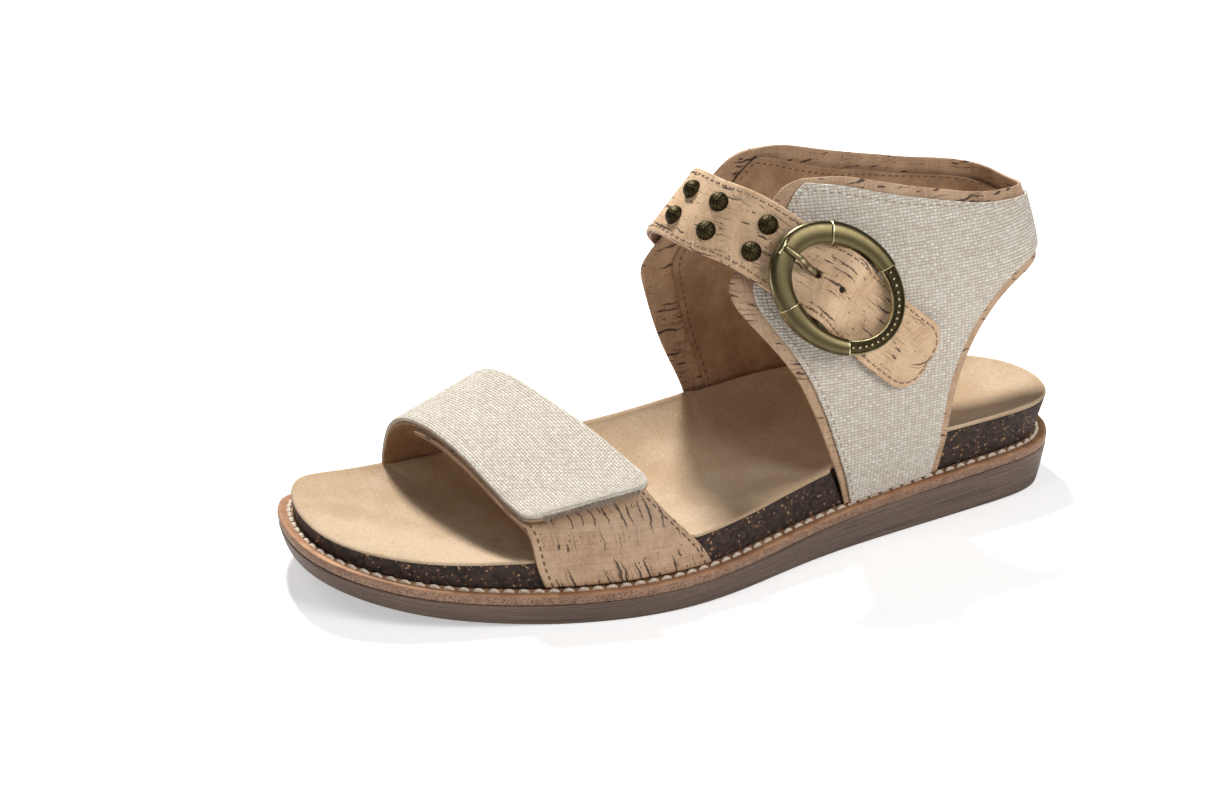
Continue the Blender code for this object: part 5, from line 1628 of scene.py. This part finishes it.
def make_hole_shade_discs():
    """Nearly black discs low in the holes: painted shade, which reads as depth."""
    points, faces = [], []
    for hole in HOLES:
        _, along_way, across_way, _ = strap_frame(hole)
        middle = strap_face(hole, 0.0, INSTEP_THICKNESS - 0.3)
        start = len(points)
        for k in range(16):
            turn = 2 * math.pi * k / 16
            points.append(middle + (along_way * math.cos(turn) + across_way * math.sin(turn)) * HOLE_RADIUS)
        faces.append(tuple(range(start, start + 16)))
    return make_piece("hole_shade_discs", points, faces, HOLE_SHADE_FINISH)


make_instep_strap()
make_hole_shade_discs()

# %% [markdown]
# Buckle
#
# The buckle is a cast ring, darkened and rubbed back.  Its plain part is flat and broad, two
# raised collars wrap it, and between the collars lies a sunk channel with a row of beads between
# two bright rims.  The section of the ring changes round its turn, so it is built as a loop of
# sections whose width and height are functions of the angle.

# %% Buckle sizes
BUCKLE_LONG = 23.8
BUCKLE_SHORT = 18.6
BUCKLE_BAND = 5.8
# The band is broadest towards the toe and narrowest at the beads
BUCKLE_BAND_SWELL = 1.5
BUCKLE_HEIGHT = 4.0
BUCKLE_SEAT = 4.3
BAR_RADIUS = 1.4
PRONG_LENGTH = 15.3
# Turns of the ring in degrees, 0 towards the toe along the strap and 90 upwards across it
COLLARS = ((55.0, 118.0), (232.0, 299.0))
CHANNEL = (118.0, 232.0)
CHANNEL_DEPTH = 1.25
BEADS = 17
BEAD_RADIUS = 0.52
BEAD_HEIGHT = 0.62
# Height of the beads' seats above the middle of the ring
BEAD_SEAT = 0.72
RING_TURNS = 300
RING_SIDES = 20


def buckle_frame():
    point, tangent, across, normal = strap_frame(0.0)
    return point + normal * (BUCKLE_SEAT + BUCKLE_HEIGHT / 2), tangent, across, normal


BUCKLE_CENTRE, LONG_WAY, SHORT_WAY, BUCKLE_UP = buckle_frame()


def ring_middle(turn):
    """Middle of the band and its outward direction at a turn."""
    way = np.array((math.cos(turn), math.sin(turn)))
    band = BUCKLE_BAND + BUCKLE_BAND_SWELL * math.cos(turn)
    outer = way * (BUCKLE_LONG, BUCKLE_SHORT)
    inner = way * (BUCKLE_LONG - band, BUCKLE_SHORT - band)
    return (outer + inner) / 2, (outer - inner) / 2


def within(degrees, limits, ease):
    """1 between two angles and 0 outside, eased at both."""
    low = smooth_step((degrees - limits[0] + ease) / (2 * ease))
    return float(low * smooth_step((limits[1] + ease - degrees) / (2 * ease)))


print("ring:", 2 * BUCKLE_LONG, "by", 2 * BUCKLE_SHORT, "mm")


# %% Buckle ring piece
def make_ring():
    points, rub = [], []
    stops = np.linspace(0, 360, RING_TURNS, endpoint=False)
    edges = [value for pair in COLLARS for value in pair]
    close = [edge + shift for edge in edges for shift in (-0.9, -0.5, -0.2, 0.2, 0.5, 0.9)]
    stops = np.sort(np.concatenate([stops, close]))
    for degrees in stops:
        flat, half = ring_middle(math.radians(degrees))
        collar = max(within(degrees, limits, 0.5) for limits in COLLARS)
        channel = within(degrees, CHANNEL, 0.6) * (1 - collar)
        near_end = min(abs(degrees - edge) for edge in edges)
        for k in range(RING_SIDES):
            turn = 2 * math.pi * k / RING_SIDES
            c, s = math.cos(turn), math.sin(turn)
            wide = math.copysign(abs(c) ** 0.7, c) * (1.01 + 0.09 * collar - 0.02 * channel)
            tall = math.copysign(abs(s) ** 0.7, s) * (BUCKLE_HEIGHT / 2 * (0.92 + 0.30 * collar))
            if channel > 0 and s > 0:
                sunk = smooth_step((0.78 - abs(wide)) / 0.16)
                tall -= channel * float(sunk) * CHANNEL_DEPTH
            place = flat + half * wide
            points.append(BUCKLE_CENTRE + LONG_WAY * place[0] + SHORT_WAY * place[1] + BUCKLE_UP * tall)
            shine = 0.50 + 0.14 * s + (0.26 if abs(c) > 0.9 else 0.0)
            shine += 0.85 * collar * max(0.0, 1 - near_end / 1.3)
            if channel > 0:
                shine = 0.08 if abs(wide) < 0.7 else 0.86
            rub.append(min(1.0, shine))
    faces = ring_faces(RING_SIDES, len(stops))
    last = RING_SIDES * (len(stops) - 1)
    faces += closing_faces(RING_SIDES, last)
    return make_piece("buckle_ring_cast", points, faces, BRASS, ["buckle_ring"], rub=rub)


make_ring()


# %% Beads, bar and prong
def round_piece(name, places, ups, radius, height, rub_top, rub_low, rings, sides, nodes=(),
                relief=None):
    """Domes on the given places; relief is a function of turn and share of the radius."""
    points, faces, rub = [], [], []
    for place, up in zip(places, ups):
        side = unit(np.cross(up, (0.3, 1.0, 0.2)))
        other = np.cross(up, side)
        start = len(points)
        for r in range(rings):
            lift = math.pi / 2 * (1 - (r / rings) ** 1.2)
            for k in range(sides):
                turn = 2 * math.pi * k / sides
                share = math.sin(lift)
                extra = relief(turn, share) if relief else 0.0
                spoke = side * math.cos(turn) + other * math.sin(turn)
                rise = up * (height + extra) * math.cos(lift)
                points.append(place + spoke * (radius + extra) * share + rise)
                rub.append(rub_low + (rub_top - rub_low) * max(0.0, min(1.0, 0.3 + extra * 5.0)))
        points.append(place + up * height)
        rub.append(rub_top)
        faces += ring_faces(sides, rings, start)
        top = start + rings * sides
        faces += [(top - sides + k, top - sides + (k + 1) % sides, top) for k in range(sides)]
        faces.append(tuple(start + k for k in range(sides)))
    return make_piece(name, points, faces, BRASS, nodes, rub=rub)


def make_beads():
    places = []
    for n in range(BEADS):
        degrees = CHANNEL[0] + 4 + (CHANNEL[1] - CHANNEL[0] - 8) * n / (BEADS - 1)
        flat, _ = ring_middle(math.radians(degrees))
        places.append(BUCKLE_CENTRE + LONG_WAY * flat[0] + SHORT_WAY * flat[1] + BUCKLE_UP * BEAD_SEAT)
    return round_piece("buckle_beads", places, [BUCKLE_UP] * BEADS, BEAD_RADIUS, BEAD_HEIGHT,
                       1.0, 0.9, 4, 10)


def rod(name, centres, sides_way, ups, half_widths, half_heights, rub_value, nodes=()):
    """Rod through the centres with a rounded section."""
    around = 16
    points, rub = [], []
    for centre, side, up, wide, tall in zip(centres, sides_way, ups, half_widths, half_heights):
        for k in range(around):
            turn = 2 * math.pi * k / around
            c, s = math.cos(turn), math.sin(turn)
            c, s = math.copysign(abs(c) ** 0.7, c), math.copysign(abs(s) ** 0.7, s)
            points.append(centre + side * c * wide + up * s * tall)
            rub.append(rub_value + 0.3 * max(0.0, s))
    count = len(centres)
    faces = ring_faces(around, count)
    faces += [tuple(range(around)), tuple(range((count - 1) * around, count * around))]
    return make_piece(name, points, faces, BRASS, nodes, rub=rub)


def make_bar():
    half = BUCKLE_SHORT - BUCKLE_BAND / 2
    centre = BUCKLE_CENTRE - BUCKLE_UP * BAR_DROP
    stops = np.linspace(-half, half, 9)
    count = len(stops)
    return rod("buckle_bar", [centre + SHORT_WAY * s for s in stops], [LONG_WAY] * count,
               [BUCKLE_UP] * count, [BAR_RADIUS] * count, [BAR_RADIUS] * count, 0.3, ["buckle_ring"])


def make_prong():
    """Prong that lies on the plain arc of the ring and dips into the strap's hole, with its head."""
    sections = 22
    start = BUCKLE_LONG - 1.2 - PRONG_LENGTH
    centres, wides, talls = [], [], []
    for i in range(sections):
        share = i / (sections - 1)
        along = start + PRONG_LENGTH * share
        strap_top = strap_lift(along) + INSTEP_THICKNESS - BUCKLE_SEAT - BUCKLE_HEIGHT / 2
        low = strap_top - 0.5 + 1.4 * float(smooth_step(share / 0.14))
        top = BUCKLE_HEIGHT / 2 + 0.55
        rise = float(smooth_step((share - 0.1) / 0.5))
        height = max(low, low * (1 - rise) + top * rise)
        centres.append(BUCKLE_CENTRE + LONG_WAY * along + BUCKLE_UP * height)
        end = math.sqrt(max(0.0, 1 - max(0.0, (share - 0.93) / 0.07) ** 2))
        wides.append(1.1 * (1 - 0.28 * share) * max(0.35, end))
        talls.append(0.72 * (1 - 0.3 * share) * max(0.35, end))
    rod("buckle_prong_head", [centres[-1] + SHORT_WAY * s - BUCKLE_UP * 0.3 for s in (-2.7, 0.0, 2.7)],
        [LONG_WAY] * 3, [BUCKLE_UP] * 3, [0.42] * 3, [0.42] * 3, 0.6)
    return rod("buckle_prong_pin", centres, [SHORT_WAY] * sections, [BUCKLE_UP] * sections, wides, talls,
               0.5, ["buckle_prong"])


make_beads()
make_bar()
make_prong()

# %% [markdown]
# Studs
#
# Six domed studs stand in pairs on the strap.  Each is stamped with a flower of raised lines, so
# its dome carries a relief of petals: a cosine round the turn, stronger towards the rim, with a
# small boss in the middle.  The relief also sets how bright the rubbed brass is.

# %% Stud pieces
STUD_PAIRS = (26.6, 41.0, 51.9)
STUD_ACROSS = 4.8
STUD_RADIUS = 3.1
STUD_HEIGHT = 2.8


def petals(turn, share):
    """Relief of a stamped flower in millimetres."""
    outer = 0.08 * max(0.0, math.cos(12 * turn)) * smooth_step((share - 0.45) / 0.15)
    outer *= smooth_step((0.92 - share) / 0.1)
    inner = 0.08 * max(0.0, math.cos(8 * turn + math.pi)) * smooth_step((0.55 - share) / 0.12)
    boss = 0.12 if share < 0.14 else 0.0
    return float(outer + inner * smooth_step((share - 0.18) / 0.1) + boss)


def make_studs():
    number = 0
    for along in STUD_PAIRS:
        for side in (1, -1):
            number += 1
            _, _, _, up = strap_frame(along)
            seat = strap_face(along, side * STUD_ACROSS, INSTEP_THICKNESS + 0.2)
            round_piece(f"stud_{number}", [seat], [up], STUD_RADIUS, STUD_HEIGHT, 0.5, -0.25, 20, 64,
                        [f"strap_stud_{number}"], petals)


make_studs()
